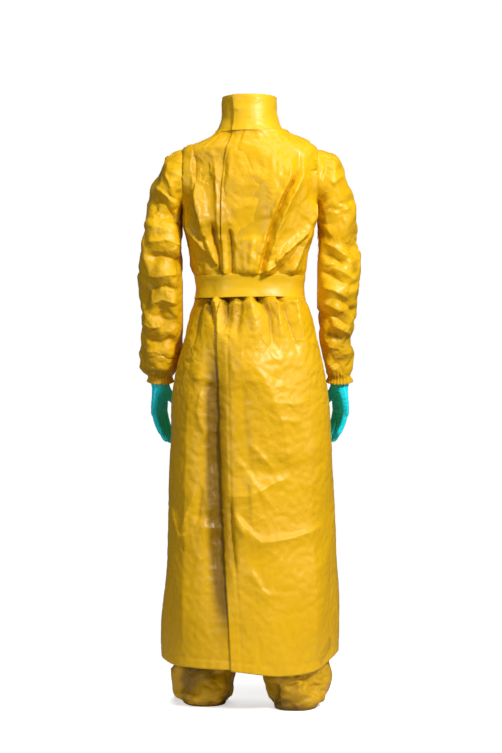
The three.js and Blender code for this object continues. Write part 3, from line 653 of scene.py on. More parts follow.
# The bodice pulls in folds from the armholes, and long soft folds fall from the belt to the hem.
on_back = smooth(0.0, 0.35, -y / back)
turned = np.radians(angle)
falls = np.sin(turned * 7) + 0.5 * np.sin(turned * 13)
skirt = smooth(WAIST_Z, WAIST_Z - 0.3, height)
falls *= smooth(0.25, 0.75, np.abs(np.sin(turned)))
sculpt = (0.004 + 0.006 * smooth(0.9, 0.2, height)) * falls * skirt * (1 - on_back)
bodice = smooth(WAIST_Z + 0.02, WAIST_Z + 0.12, height) * smooth(1.44, 1.36, height)
pulled = 0.005 * np.sin(np.abs(x) * 54 + (height - WAIST_Z) * 24) * bodice
sculpt += pulled * (1 - on_back) * smooth(0.02, 0.08, np.abs(x))
points = np.stack([x, y, height], axis=1) + out * (lift + sculpt + 0.001)[:, None]
place(gown.data, points)

# Armholes: the cells inside each are taken out, and the edge that is left is drawn onto a true circle.
shape = bmesh.new()
shape.from_mesh(gown.data)
shape.verts.ensure_lookup_table()
mark = shape.verts.layers.float.new("column")
for vertex in shape.verts:
    vertex[mark] = column[vertex.index]


def armhole_reach(vertex):
    return math.hypot(vertex.co.y, vertex.co.z - ARMHOLE_Z)


cut = [v for v in shape.verts if abs(v.co.x) > 0.12 and armhole_reach(v) < ARMHOLE_RADIUS - 0.001]
bmesh.ops.delete(shape, geom=cut, context="VERTS")
loose = [v for v in shape.verts if not v.link_faces]
bmesh.ops.delete(shape, geom=loose, context="VERTS")
edge_corners = [v for v in shape.verts if v.is_boundary and abs(v.co.x) > 0.12]
rim = [v for v in edge_corners if armhole_reach(v) < ARMHOLE_RADIUS * 1.35]
for vertex in rim:
    out_by = ARMHOLE_RADIUS / armhole_reach(vertex)
    vertex.co.y *= out_by
    vertex.co.z = ARMHOLE_Z + (vertex.co.z - ARMHOLE_Z) * out_by
    vertex.co.x = math.copysign(SIDE_X, vertex.co.x)
near_rim = [v for v in shape.verts if not v.is_boundary and abs(v.co.x) > 0.12 and armhole_reach(v) < 0.11]
for _ in range(4):
    bmesh.ops.smooth_vert(
        shape, verts=near_rim, factor=0.5, use_axis_x=True, use_axis_y=True, use_axis_z=True
    )
rims = {v.index for v in rim}
shape.to_mesh(gown.data)
rim_flag = np.array(
    [v.is_boundary and abs(v.co.x) > 0.15 and armhole_reach(v) < 0.0775 for v in shape.verts]
)
kept_column = np.array([v[mark] for v in shape.verts])
shape.free()

points = corners(gown.data)
tall = points[:, 2]
hold = np.full(len(points), 0.35)
hold = np.where(np.abs(tall - WAIST_Z) < 0.034, 1.0, hold)
hold = np.where(tall > NECK_Z - 0.004, 1.0, hold)
hold = np.where(rim_flag, 1.0, hold)
overlap = (kept_column > GOWN_COLUMNS - 14) | (kept_column < 3)
hold = np.where(overlap & (hold < 0.8), 0.8, hold)
free = 0.0016 + 0.0034 * smooth(WAIST_Z - 0.12, WAIST_Z + 0.05, tall)[:, None]
buckle(gown, hold, grow=0.012, frames=10, bending=4.0, seed=3, cap=free)
finer(gown)

# Folds and creases are pressed into the fine sheet, along its normals.
points = corners(gown.data)
x, y, height = points.T
column = np.empty(len(points), np.float32)
gown.data.attributes["column"].data.foreach_get("value", column)
half_width, back, front, square, edge = hermite(gown_rows, height).T
is_under = column > OVER_COLUMNS + FRONT_COLUMNS
is_over = column < OVER_COLUMNS
on_back = smooth(0.0, 0.35, -y / back)
pressed = np.zeros(len(points))
for line, rise, widths in BACK_FOLDS:
    pressed += 1.9 * fold(x, height, line, rise, (widths[0] * 0.85, widths[1] * 0.85), (0.3, 0.0))
for line, rise, widths in GATHERS:
    pressed += 1.6 * fold(x, height, line, rise, (widths[0] * 1.15, widths[1] * 1.15), (0.0, 0.7))
for line, rise, widths in HOLES:
    pressed += 0.75 * fold(x, height, line, rise, widths, (0.0, 0.5))
for line, rise, widths in SKIRT_FOLDS:
    pressed += 1.5 * fold(x, height, line, rise, widths, (0.3, 0.15))
for line, rise, widths in CREASES:
    pressed += 1.7 * fold(x, height, line, rise, widths)
# One soft valley runs down beside the free edge, from the belt almost to the hem.
valley = [(-0.092, 0.960), (-0.096, 0.700), (-0.091, 0.500), (-0.082, 0.300), (-0.078, 0.170)]
away, share, beside = line_distance(x, height, valley)
dip = 0.024 * np.exp(-((away / np.where(beside < 0, 0.034, 0.022)) ** 2))
pressed -= dip * smooth(0, 0.3, share) * smooth(0, 0.35, 1 - share)
# Painted shade: the film's colour darkens along the pressed valleys on the back, standing in for their shade.
painted_shade = np.clip(-pressed / 0.020 - 0.12, 0, 1) * on_back
# Painted shadow: the film's colour is also darkened on the under panel, close beside the free edge, where the
# over panel would shade it.
painted_edge_shadow = np.exp(-(((x - edge + 0.004) / np.where(x < edge, 0.030, 0.006)) ** 2)) * is_under * on_back
painted_shade += 1.15 * painted_edge_shadow * smooth(0.12, 0.30, height) * smooth(0.96, 0.72, height)
# The over panel bridges these, so the layer below stays flat where the two lap.
pressed *= on_back
under_lap = smooth(-0.004, 0.016, x - edge) * is_under
pressed = np.where(is_under, pressed * (1 - under_lap) + np.minimum(pressed, 0) * under_lap, pressed)
# The belt gathers the cloth all round, most at the front and sides, where no fold is drawn.
turned = np.arctan2(y, x)
near_waist = np.exp(-(((height - WAIST_Z) / 0.10) ** 2))
pleats = np.abs(np.sin(turned * 12 + 1.5 * np.sin(turned * 3))) + 0.6 * np.abs(np.sin(turned * 19 + 1))
pressed += 0.010 * (0.8 - pleats) * near_waist * (1 - 0.8 * on_back)
puffed = 0.007 * np.exp(-(((height - BELT_FOOT + 0.014) / 0.014) ** 2))
pressed += puffed * on_back * smooth(0.125, 0.085, np.abs(x))
# The free edge is a folded hem, and so is the gown's foot.
from_edge = x - edge
pressed += np.where(is_over & (y < 0), -0.0015 * np.exp(-(((from_edge - 0.026) / 0.0025) ** 2)), 0)
pressed -= 0.0012 * np.exp(-(((height - HEM_Z - 0.024) / 0.0025) ** 2))
# Crushed film: wide flat facets everywhere, smaller ones in patches and over the bodice.
chance = np.random.default_rng(11)
spread = points[chance.integers(len(points), size=900)]
bodice = smooth(WAIST_Z - 0.1, WAIST_Z + 0.1, height)
wide = crumpled(points, spread[:150], 1, 0.13, 0.085, (1, 1, 0.5))
middling = crumpled(points, spread[150:420], 2, 0.055, 0.12, (1, 1, 0.8))
small = crumpled(points, spread[420:], 3, 0.024, 0.14)
patches = smooth(-0.15, 0.3, ripples(points, 0.12, 9))
crush = wide * (0.6 + 0.5 * bodice) + middling * (0.1 + 0.7 * bodice)
crush += small * (0.06 + 1.04 * bodice) * patches
crush *= (1 - 0.6 * under_lap) * (1 - 0.65 * smooth(1.37, 1.43, height))
inside_belt = smooth(0.0305, 0.026, np.abs(height - WAIST_Z))
pressed += crush * (1 - smooth(0.045, 0.030, np.abs(height - WAIST_Z)) * 0.7)
pressed = pressed * (1 - inside_belt) + np.clip(pressed, -0.012, 0.001) * inside_belt
reach = np.hypot(y, height - ARMHOLE_Z)
side_wall = np.abs(x) > 0.150
near_armhole = smooth(ARMHOLE_RADIUS + 0.03, ARMHOLE_RADIUS, reach) * (reach < ARMHOLE_RADIUS + 0.03)
pressed *= 1 - side_wall * near_armhole
points = points + normals(gown.data) * pressed[:, None]
swing = (height > WAIST_Z + 0.08) & (np.abs(points[:, 0]) > SIDE_X)
points[:, 0] = np.where(swing, np.sign(x) * SIDE_X, points[:, 0])
# The over panel's foot hangs lower towards its middle, and both sides ride up, the right one most.
drop = 0.016 * np.exp(-(((points[:, 0] - 0.09) / 0.11) ** 2)) * is_over * smooth(0.35, HEM_Z, height)
points[:, 2] -= drop * (y < 0)
ride_up = 0.026 * smooth(0.155, 0.232, points[:, 0]) + 0.008 * smooth(-0.19, -0.232, points[:, 0])
points[:, 2] += ride_up * smooth(0.40, HEM_Z, height)
place(gown.data, points)
# Painted shade: the film's colour darkens in the folds and crushed creases, and beside the free edge.
paint_fold_shade(gown, painted_shade + np.clip(-crush / 0.020 - 0.2, 0, 0.3))

# The sheet is cut at the side seams into its three panels.


def part_of_sheet(name, keep):
    """The part of the gown's sheet where keep(vertex, column layer) holds, as its own piece."""
    shape = bmesh.new()
    shape.from_mesh(gown.data)
    mark = shape.verts.layers.float["column"]
    spare = [f for f in shape.faces if not all(keep(v, mark) for v in f.verts)]
    bmesh.ops.delete(shape, geom=spare, context="FACES")
    mesh = bpy.data.meshes.new(name)
    shape.to_mesh(mesh)
    shape.free()
    piece = bpy.data.objects.new(name, mesh)
    scene.collection.objects.link(piece)
    return piece


LEFT_SEAM = OVER_COLUMNS + FRONT_COLUMNS

for name, first, last, node_names, flat, cut_area in (
    ("back_panel_right", 0, OVER_COLUMNS, ["back_panel_right", "vent_flap"], (0.43, 1.39), 0.515),
    ("front_panel", OVER_COLUMNS, LEFT_SEAM, ["front_panel"], (0.72, 1.38), 0.775),
    ("back_panel_left", LEFT_SEAM, GOWN_COLUMNS, ["back_panel_left"], (0.52, 1.38), 0.555),
):
    panel = part_of_sheet(name, lambda v, mark: first - 0.01 <= v[mark] <= last + 0.01)
    sew_through(panel, FILM, gown_looks)
    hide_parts(*node_names)
    if name == "back_panel_right":
        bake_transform(panel, "gown", "vent_flap", start=(0.032, -0.17, 0.560), end=(-0.0264, -0.17, 0.546))
    else:
        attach(panel, "gown")


# ---- Seam tapes of the gown ----
# Heat-sealed tape over each seam, on the inside: four straight runs and a ring round each armhole.

tape_look = coated_look("seam_tape", (0.66, 0.36, 0.01), 0.05, 0.02, 0.01, 0.03, 0.4)[0]


def weave_look(name, colour):
    """Flat woven elastic: ribs along it, with rubber threads that show between them."""
    look = bpy.data.materials.new(name)
    look.use_nodes = True
    tree = look.node_tree
    shader = tree.nodes["Principled BSDF"]
    spot = tree.nodes.new("ShaderNodeTexCoord")
    ribs = tree.nodes.new("ShaderNodeTexWave")
    ribs.bands_direction = "Z"
    ribs.inputs["Scale"].default_value = 260
    ribs.inputs["Distortion"].default_value = 0.4
    tree.links.new(spot.outputs["Object"], ribs.inputs["Vector"])
    bump = tree.nodes.new("ShaderNodeBump")
    bump.inputs["Distance"].default_value = 0.0004
    tree.links.new(ribs.outputs["Fac"], bump.inputs["Height"])
    tree.links.new(bump.outputs["Normal"], shader.inputs["Normal"])
    tint = tree.nodes.new("ShaderNodeMix")
    tint.data_type = "RGBA"
    tint.inputs["A"].default_value = (*(0.7 * c for c in colour), 1)
    tint.inputs["B"].default_value = (*colour, 1)
    tree.links.new(ribs.outputs["Fac"], tint.inputs["Factor"])
    tree.links.new(tint.outputs["Result"], shader.inputs["Base Color"])
    shader.inputs["Roughness"].default_value = 0.8
    return look


for name, seam, low, high, strip in (
    ("side_seam_tape_right", OVER_COLUMNS, HEM_Z, ARMHOLE_Z - 0.080, (0.038, 1.14)),
    ("side_seam_tape_left", LEFT_SEAM, HEM_Z, ARMHOLE_Z - 0.080, (0.038, 1.14)),
    ("shoulder_seam_tape_right", OVER_COLUMNS, ARMHOLE_Z + 0.080, NECK_Z + 0.002, (0.020, 0.078)),
    ("shoulder_seam_tape_left", LEFT_SEAM, ARMHOLE_Z + 0.080, NECK_Z + 0.002, (0.020, 0.078)),
):
    tape = part_of_sheet(name, lambda v, mark: abs(v[mark] - seam) <= 2 and low < v.co.z < high)
    place(tape.data, corners(tape.data) - normals(tape.data) * (FILM + 0.0005))
    sew_through(tape, 0.0005, [tape_look])
    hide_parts(name)
    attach(tape, "gown")

for side, lean in (("right", 1), ("left", -1)):
    ring, turn, along = cloth_tube(f"armhole_seam_tape_{side}", 72, 4)
    angle = np.radians(turn)
    inward = along if lean > 0 else 1 - along
    radius = ARMHOLE_RADIUS - 0.0022 - 0.001 * inward
    x = SIDE_X - 0.0095 * inward
    y, z = radius * np.cos(angle), ARMHOLE_Z + radius * np.sin(angle)
    place(ring.data, np.stack([lean * x, y, z], axis=1))
    sew_through(ring, 0.0008, [tape_look])
    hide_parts(f"armhole_seam_tape_{side}")
    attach(ring, "gown")
bpy.data.objects.remove(gown)


# ---- Collar ----
# A doubled stand collar. Its outer end laps over the inner one at the back, and hook and loop strips
# between the two hold it shut.

COLLAR_BASE = NECK_Z - 0.001
COLLAR_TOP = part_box("collar")[1].z - 0.001
collar, across, along = cloth_grid("collar", 170, 30)
outer_end = -118.4 - 6 * along
angle = outer_end + (296 - outer_end) * across
half_width = 0.0702 + 0.0195 * (1 - along) ** 3.0
depth = 0.0725 + 0.0045 * (1 - along) ** 3.0
x, y = oval(angle, half_width, depth, depth - 0.002, 2.0)
x = x - 0.003 * along
y = y + 0.008 * along
lap = 0.006 * (1 - smooth(-58, -20, angle))
place_on = np.stack([x, y, COLLAR_BASE + (COLLAR_TOP - COLLAR_BASE) * along], axis=1)
outward = place_on * (1, 1, 0)
outward /= np.linalg.norm(outward, axis=1, keepdims=True)
creases = 0.0006 * ripples(place_on, 0.02, 12, (0.35, 0.35, 1.6))
creases += 0.0005 * ripples(place_on, 0.009, 13, (0.4, 0.4, 1.6))
root = np.exp(-((along / 0.16) ** 2))
creases += 0.0022 * root * ripples(place_on, 0.016, 14, (1, 1, 0.5)) + 0.0025 * root
creases += 0.003 * ripples(place_on, 0.07, 15, (1, 1, 0.5)) * along
creases = np.where(angle > 270, np.minimum(creases, 0.001) - 0.0005, creases)
chance = np.random.default_rng(4)
spread = place_on[chance.integers(len(place_on), size=70)]
crush = crumpled(place_on, spread, 4, 0.026, 0.07, (0.4, 0.4, 1.5))
creases += crush * smooth(0.02, 0.2, along) * smooth(300, 240, angle)
place(collar.data, place_on + outward * (lap + creases)[:, None])
finer(collar)
collar_looks = coated_look("collar", (0.74, 0.43, 0.008), 0.05, 0.05, 0.012, 0.08, 0.4)
sew_through(collar, 0.0016, collar_looks)
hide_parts("collar")
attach(collar, "gown")


def fuzz_look(name, colour):
    look = bpy.data.materials.new(name)
    look.use_nodes = True
    tree = look.node_tree
    spot = tree.nodes.new("ShaderNodeTexCoord")
    pile = tree.nodes.new("ShaderNodeTexVoronoi")
    pile.inputs["Scale"].default_value = 900
    tree.links.new(spot.outputs["Object"], pile.inputs["Vector"])
    bump = tree.nodes.new("ShaderNodeBump")
    bump.inputs["Distance"].default_value = 0.0006
    tree.links.new(pile.outputs["Distance"], bump.inputs["Height"])
    tree.links.new(bump.outputs["Normal"], tree.nodes["Principled BSDF"].inputs["Normal"])
    tint = tree.nodes.new("ShaderNodeMix")
    tint.data_type = "RGBA"
    tint.inputs["A"].default_value = (*(0.8 * c for c in colour), 1)
    tint.inputs["B"].default_value = (*colour, 1)
    tree.links.new(pile.outputs["Distance"], tint.inputs["Factor"])
    tree.links.new(tint.outputs["Result"], tree.nodes["Principled BSDF"].inputs["Base Color"])
    tree.nodes["Principled BSDF"].inputs["Roughness"].default_value = 0.9
    return look


pile_look = fuzz_look("hook_and_loop_pile", (0.82, 0.8, 0.72))
for name, off in (("collar_hook_strip", 0.0036), ("collar_loop_strip", 0.0016)):
    strip, across, along = cloth_grid(name, 24, 16)
    angle = 260 + 24 * across
    share = 0.25 + 0.5 * along
    half_width = 0.0702 + 0.0195 * (1 - share) ** 3.0
    depth = 0.0725 + 0.0045 * (1 - share) ** 3.0
    x, y = oval(angle, half_width + off, depth + off, depth + off, 2.0)
    z = COLLAR_BASE + (COLLAR_TOP - COLLAR_BASE) * share
    place(strip.data, np.stack([x - 0.003 * share, y + 0.008 * share, z], axis=1))
    sew_through(strip, 0.001, [pile_look])
    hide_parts(name)
    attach(strip, "gown")


# ---- Belt ----
# A flat doubled band of the gown's cloth round the waist, knotted at the front with two tails.

BELT_LOW, BELT_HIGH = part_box("belt_band")[0].z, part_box("belt_band")[1].z
belt_looks = coated_look("belt", (0.74, 0.43, 0.008), 0.05, 0.05, 0.012, 0.10, 0.4)
band, across, along = cloth_grid("belt_band", 220, 16)
angle = 101 + 338 * across
height = BELT_LOW + (BELT_HIGH - BELT_LOW) * along
half_width, back, front, square, edge = hermite(gown_rows, height).T
lap = LAP * smooth(228, 248, angle) * (1 - smooth(308, 345, angle))
x, y = oval(angle, half_width + 0.0045 + lap, back + 0.0045 + lap, front + 0.005 + lap, square)
spots = np.stack([x, y, height], axis=1)
outward = spots * (1, 1, 0)
outward /= np.linalg.norm(outward, axis=1, keepdims=True)
press = 0.0012 * ripples(spots, 0.02, 31, (0.25, 0.25, 1.4)) + 0.0014 * ripples(spots, 0.045, 32, (1, 1, 0.3))
spots[:, 2] += 0.0022 * ripples(spots * (1, 1, 0.02), 0.06, 33) * (np.abs(along - 0.5) * 2) ** 2
near_knot = smooth(0.06, 0.02, np.abs(x)) * (y > 0)
spots[:, 2] = WAIST_Z + (spots[:, 2] - WAIST_Z) * (1 - 0.45 * near_knot)
press += near_knot * 0.003 * np.sin(along * 19)
place(band.data, spots + outward * press[:, None])
finer(band)
sew_through(band, 0.0018, belt_looks)
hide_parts("belt_band")
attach(band, "gown")

knot_low, knot_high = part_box("belt_knot")
knot_mesh = bpy.data.meshes.new("belt_knot")
shape = bmesh.new()
bmesh.ops.create_icosphere(shape, subdivisions=5, radius=1.0)
bmesh.ops.transform(shape, matrix=Matrix.Diagonal((*((knot_high - knot_low) * 0.46), 1)), verts=shape.verts)
bmesh.ops.translate(shape, vec=(knot_low + knot_high) / 2, verts=shape.verts)
shape.to_mesh(knot_mesh)
shape.free()
knot = bpy.data.objects.new("belt_knot", knot_mesh)
scene.collection.objects.link(knot)
spots = corners(knot_mesh)
dx, dz = spots[:, 0], spots[:, 2] - WAIST_Z
wrap = np.abs(dx * 0.8 + dz * 0.6)
strap = smooth(0.017, 0.014, wrap)
turns = np.sin((dx * 0.8 + dz * 0.6) * 520) * strap + np.sin((dz * 0.8 - dx * 0.6) * 480) * (1 - strap)
place(knot_mesh, spots + normals(knot_mesh) * (0.0012 * turns + 0.003 * strap - 0.0012)[:, None])
sew_through(knot, 0.0, belt_looks)
knot.modifiers.clear()
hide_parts("belt_knot")
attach(knot, "gown")

for name, lean in (("belt_tail_right", 1), ("belt_tail_left", -1)):
    low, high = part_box(name)
    tail, across, along = cloth_grid(name, 14, 80)
    height = low.z + (high.z - low.z) * along
    half_width, back, front, square, edge = hermite(gown_rows, height).T
    spread = 1 - 0.45 * smooth(0.85, 1.0, along)
    x = lean * (0.023 + 0.004 * (1 - along)) + (across - 0.5) * 0.042 * spread
    slant = 0.012 * (across - 0.5) * (1 - smooth(0.0, 0.2, along)) * lean
    order = np.argsort(height)
    y = np.interp(height, height[order], front[order]) * (1 - (np.abs(x) / half_width) ** 2) ** 0.45
    spots = np.stack([x, y + 0.0085, height + slant], axis=1)
    wave = 0.003 * np.sin(along * 9 + lean)
    wave += 0.0025 * np.sin((across - 0.5) * 5 + along * 4) * smooth(1.0, 0.8, along)
    pleat = 0.002 * np.sin(across * 22) * smooth(0.8, 1.0, along)
    spots[:, 1] += wave + pleat + 0.001 * ripples(spots, 0.03, 40 + lean)
    place(tail.data, spots)
    flip_if_inward(tail, (0, 1, 0))
    finer(tail)
    sew_through(tail, 0.0016, belt_looks)
    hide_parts(name)
    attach(tail, "belt_tails")


# ---- Sleeves ----
# One tube of cloth each, sealed to the armhole and gathered by a narrow elastic at the wrist. They are
# too long for the arm, so the cloth stacks up in folds below the elbow.

# Inner x and z, outer x and z, middle y, half depth and how far the ring's front tips up, in degrees.
sleeve_rings = [
    (0.1665, 1.2618, 0.1665, 1.4184, 0.000, 0.0781, 0),
    (0.1737, 1.2605, 0.1960, 1.4120, 0.000, 0.0780, 0),
    (0.1756, 1.2560, 0.2176, 1.3970, 0.000, 0.0750, 0),
    (0.1766, 1.2480, 0.2306, 1.3700, 0.000, 0.0720, 0),
    (0.1766, 1.2360, 0.2420, 1.3360, 0.000, 0.0690, 0),
    (0.1766, 1.2180, 0.2500, 1.2980, 0.000, 0.0660, 0),
    (0.1766, 1.1780, 0.2620, 1.2380, 0.002, 0.0630, 1),
    (0.1746, 1.1300, 0.2710, 1.1630, 0.005, 0.0620, 3),
    (0.1706, 1.0700, 0.2760, 1.0900, 0.010, 0.0640, 7),
    (0.1726, 1.0050, 0.2770, 1.0170, 0.020, 0.0600, 11),
    (0.1796, 0.9325, 0.2740, 0.9405, 0.038, 0.0510, 14),
    (0.1960, 0.8675, 0.2700, 0.8715, 0.058, 0.0410, 14),
    (0.2020, 0.8200, 0.2660, 0.8220, 0.070, 0.0330, 14),
]
SLEEVE_FOLDS = {
    "left": [
        ([(-0.258, 1.140), (-0.222, 1.142), (-0.166, 1.118)], -0.019, (0.007, 0.018)),
        ([(-0.256, 1.172), (-0.215, 1.178), (-0.176, 1.160)], 0.013, (0.020, 0.010)),
        ([(-0.246, 1.326), (-0.222, 1.304), (-0.184, 1.262)], 0.012, (0.006, 0.022)),
        ([(-0.244, 1.296), (-0.214, 1.270), (-0.182, 1.222)], -0.012, (0.008, 0.016)),
        ([(-0.262, 1.236), (-0.240, 1.214), (-0.206, 1.200)], 0.009, (0.008, 0.020)),
        ([(-0.210, 1.392), (-0.214, 1.345), (-0.196, 1.300)], 0.007, (0.016, 0.006)),
        ([(-0.272, 1.092), (-0.232, 1.084), (-0.172, 1.098)], 0.012, (0.020, 0.006)),
        ([(-0.262, 1.058), (-0.212, 1.062), (-0.170, 1.046)], -0.014, (0.008, 0.018)),
        ([(-0.266, 1.012), (-0.222, 1.028), (-0.184, 1.016)], 0.013, (0.018, 0.007)),
        ([(-0.240, 0.992), (-0.208, 0.976), (-0.180, 0.982)], -0.012, (0.008, 0.012)),
        ([(-0.276, 0.976), (-0.250, 0.958), (-0.222, 0.962)], 0.010, (0.014, 0.006)),
        ([(-0.262, 0.930), (-0.228, 0.922), (-0.192, 0.936)], -0.011, (0.007, 0.014)),
        ([(-0.262, 0.896), (-0.240, 0.902), (-0.206, 0.886)], 0.008, (0.010, 0.006)),
    ],
    "right": [
        ([(0.167, 1.402), (0.188, 1.390), (0.196, 1.360), (0.176, 1.320)], -0.010, (0.008, 0.012)),
        ([(0.232, 1.345), (0.205, 1.318)], 0.006, (0.006, 0.012)),
        ([(0.252, 1.262), (0.222, 1.246), (0.196, 1.254)], 0.005, (0.005, 0.014)),
        ([(0.186, 1.176), (0.222, 1.158), (0.252, 1.134)], 0.009, (0.005, 0.014)),
        ([(0.176, 1.146), (0.212, 1.134), (0.240, 1.114)], -0.011, (0.009, 0.006)),
        ([(0.206, 1.112), (0.238, 1.098), (0.268, 1.074)], 0.010, (0.006, 0.013)),
        ([(0.174, 1.104), (0.206, 1.090), (0.246, 1.062)], -0.011, (0.009, 0.006)),
        ([(0.178, 1.066), (0.214, 1.052), (0.252, 1.026)], 0.011, (0.013, 0.005)),
        ([(0.216, 1.034), (0.246, 1.016), (0.272, 0.998)], -0.012, (0.008, 0.006)),
        ([(0.176, 1.024), (0.206, 1.014), (0.236, 0.994)], 0.008, (0.010, 0.005)),
        ([(0.180, 0.996), (0.220, 0.984), (0.256, 0.958)], -0.012, (0.009, 0.006)),
        ([(0.206, 0.968), (0.238, 0.950), (0.270, 0.936)], 0.011, (0.012, 0.005)),
        ([(0.186, 0.946), (0.216, 0.938), (0.244, 0.922)], -0.009, (0.008, 0.006)),
        ([(0.196, 0.912), (0.230, 0.902), (0.262, 0.882)], 0.008, (0.009, 0.005)),
        ([(0.204, 0.886), (0.232, 0.880), (0.256, 0.868)], -0.007, (0.007, 0.005)),
    ],
}
steps = np.array(sleeve_rings)
inner_run = np.hypot(np.diff(steps[:, 0]), np.diff(steps[:, 1]))
outer_run = np.hypot(np.diff(steps[:, 2]), np.diff(steps[:, 3]))
run = np.concatenate([[0], np.cumsum((inner_run + outer_run) / 2)])
ring_table = np.column_stack([run, steps])
elastic_look = weave_look("cuff_elastic", (0.80, 0.78, 0.70))


def sleeve_place(angle, reach, out_by=0.0):
    """Points on the right sleeve, at an angle round it and a distance down it."""
    ix, iz, ox, oz, y, depth, tip = hermite(ring_table, reach).T
    c, s = np.cos(np.radians(angle)), np.sin(np.radians(angle))
    half = np.stack([(ox - ix) / 2, (oz - iz) / 2], axis=1)
    grown = 1 + out_by / np.linalg.norm(half, axis=1)
    return np.stack(
        [
            (ix + ox) / 2 + half[:, 0] * c * grown,
            y + (depth + out_by) * s * np.cos(np.radians(tip)),
            (iz + oz) / 2 + half[:, 1] * c * grown + (depth + out_by) * s * np.sin(np.radians(tip)),
        ],
        axis=1,
    )


for side, lean, seed in (("right", 1, 21), ("left", -1, 57)):
    sleeve, turn, up = cloth_tube(f"sleeve_{side}", 64, 110)
    angle = turn if lean > 0 else 180 - turn
    reach = (1 - up) * run[-1]
    points = sleeve_place(angle, reach)
    points[:, 0] *= lean
    place(sleeve.data, points)
    from_root, from_cuff = reach, run[-1] - reach
    hold = 0.04 + 0.9 * smooth(0.030, 0.006, from_root) + 0.9 * smooth(0.022, 0.012, from_cuff)
    hold = np.clip(hold + 0.10 * smooth(0.12, 0.02, from_root), 0, 1)
    buckle(sleeve, hold, grow=0.05, frames=14, bending=2.0, seed=seed, cap=0.009)
    points = corners(sleeve.data)
    out = normals(sleeve.data)
    cuff_pleats = 0.0022 * np.sin(np.radians(turn) * 24) * smooth(0.055, 0.012, from_cuff)
    flare = 0.0035 * (smooth(0.010, 0.0, from_cuff) - np.exp(-(((from_cuff - 0.014) / 0.007) ** 2)))
    at_back = smooth(0.0, 0.4, -np.sin(np.radians(angle)))
    points = points + out * (cuff_pleats + flare)[:, None]
    place(sleeve.data, points)
    finer(sleeve)
    points = corners(sleeve.data)
    order = np.argsort(steps[:, 1] + steps[:, 3])
    middle_z = ((steps[:, 1] + steps[:, 3]) / 2)[order]
    middle_x = np.interp(points[:, 2], middle_z, ((steps[:, 0] + steps[:, 2]) / 2)[order])
    middle_y = np.interp(points[:, 2], middle_z, steps[:, 4][order])
    away = np.stack([points[:, 0] - lean * middle_x, points[:, 1] - middle_y, 0 * middle_x], axis=1)
    away /= np.linalg.norm(away, axis=1, keepdims=True) + 1e-9
    out = away + normals(sleeve.data)
    out /= np.linalg.norm(out, axis=1, keepdims=True) + 1e-9
    at_back = smooth(-0.1, 0.5, -away[:, 1])
    drawn = np.zeros(len(points))
    for line, rise, widths in SLEEVE_FOLDS[side]:
        drawn += fold(points[:, 0], points[:, 2], line, rise, widths, (0.2, 0.2)) * at_back
    chance = np.random.default_rng(seed)
    spread = points[chance.integers(len(points), size=320)]
    wide = crumpled(points, spread[:90], seed, 0.058, 0.21, (1.0, 1.0, 0.8))
    small = crumpled(points, spread[90:], seed + 1, 0.022, 0.20)
    clear = smooth(0.0, 0.03, np.abs(points[:, 0]) - 0.172) * smooth(0.826, 0.86, points[:, 2])
    upper_arm = smooth(1.12, 1.20, points[:, 2])
    shaped = (0.95 * drawn + (wide + small) * (1 - (0.45 if lean > 0 else 0.1) * upper_arm)) * clear
    shaped = np.maximum(shaped, -0.016 + 0.013 * smooth(0.95, 0.89, points[:, 2]))
    points = points + out * shaped[:, None]
    inner_limit = 0.1738
    near = np.hypot(points[:, 1], points[:, 2] - ARMHOLE_Z) > ARMHOLE_RADIUS + 0.002
    points[:, 0] = np.where(near & (lean * points[:, 0] < inner_limit), lean * inner_limit, points[:, 0])
    place(sleeve.data, points)
    # Painted shade: the film's colour darkens in the sleeve's folds.
    paint_fold_shade(sleeve, -shaped / 0.016 - 0.15, 0.7)
    sew_through(sleeve, FILM, sleeve_looks)
    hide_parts(f"sleeve_{side}")
    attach(sleeve, f"sleeve_{side}")

    elastic, turn, up = cloth_tube(f"cuff_elastic_{side}", 48, 6)
    angle = turn if lean > 0 else 180 - turn
    points = sleeve_place(angle, run[-1] - 0.020 + 0.012 * (1 - up), -0.0065)
    points[:, 0] *= lean
    place(elastic.data, points)
    sew_through(elastic, 0.0008, [elastic_look])
    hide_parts(f"cuff_elastic_{side}")
    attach(elastic, f"sleeve_{side}")

    tape, across, along = cloth_grid(f"sleeve_seam_tape_{side}", 4, 90)
    angle = 180 + (across - 0.5) * (18 if lean > 0 else -18)
    reach = 0.03 + (run[-1] - 0.06) * (1 - along)
    points = sleeve_place(angle, reach, -0.012)
    points[:, 0] *= lean
    place(tape.data, points)
    sew_through(tape, 0.0005, [tape_look])
    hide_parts(f"sleeve_seam_tape_{side}")
    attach(tape, f"sleeve_{side}")


# ---- Gloves ----
# Thin nitrile gloves, one skin each, with their cuffs inside the sleeves' elastic.

GLOVE_CUFF_RADIUS = 0.0269
palm_rows = [
    (-0.094, 0.0070, 0.0290, 0.000),
    (-0.0865, 0.0120, 0.0380, 0.000),
    (-0.069, 0.0145, 0.0410, 0.000),
    (-0.0368, 0.0165, 0.0380, 0.001),
    (-0.008, 0.0239, 0.0290, 0.001),
    (0.012, GLOVE_CUFF_RADIUS, GLOVE_CUFF_RADIUS, 0.000),
    (0.030, GLOVE_CUFF_RADIUS, GLOVE_CUFF_RADIUS, 0.000),
    (0.066, GLOVE_CUFF_RADIUS, GLOVE_CUFF_RADIUS, 0.000),
]
# Each finger: y at the knuckles, length, radius and knuckle height, from the index to the little one.
fingers = [
    (0.029, 0.070, 0.010, 0.0),
    (0.0095, 0.078, 0.010, 0.003),
    (-0.010, 0.072, 0.0095, 0.001),
    (-0.028, 0.057, 0.0085, -0.006),
]
shape = bmesh.new()


def blob(centre, radii, turn=None):
    ball = bmesh.ops.create_icosphere(shape, subdivisions=2, radius=1.0)["verts"]
    stretched = Matrix.Translation(centre) @ (turn or Matrix()) @ Matrix.Diagonal((*radii, 1))
    bmesh.ops.transform(shape, matrix=stretched, verts=ball)


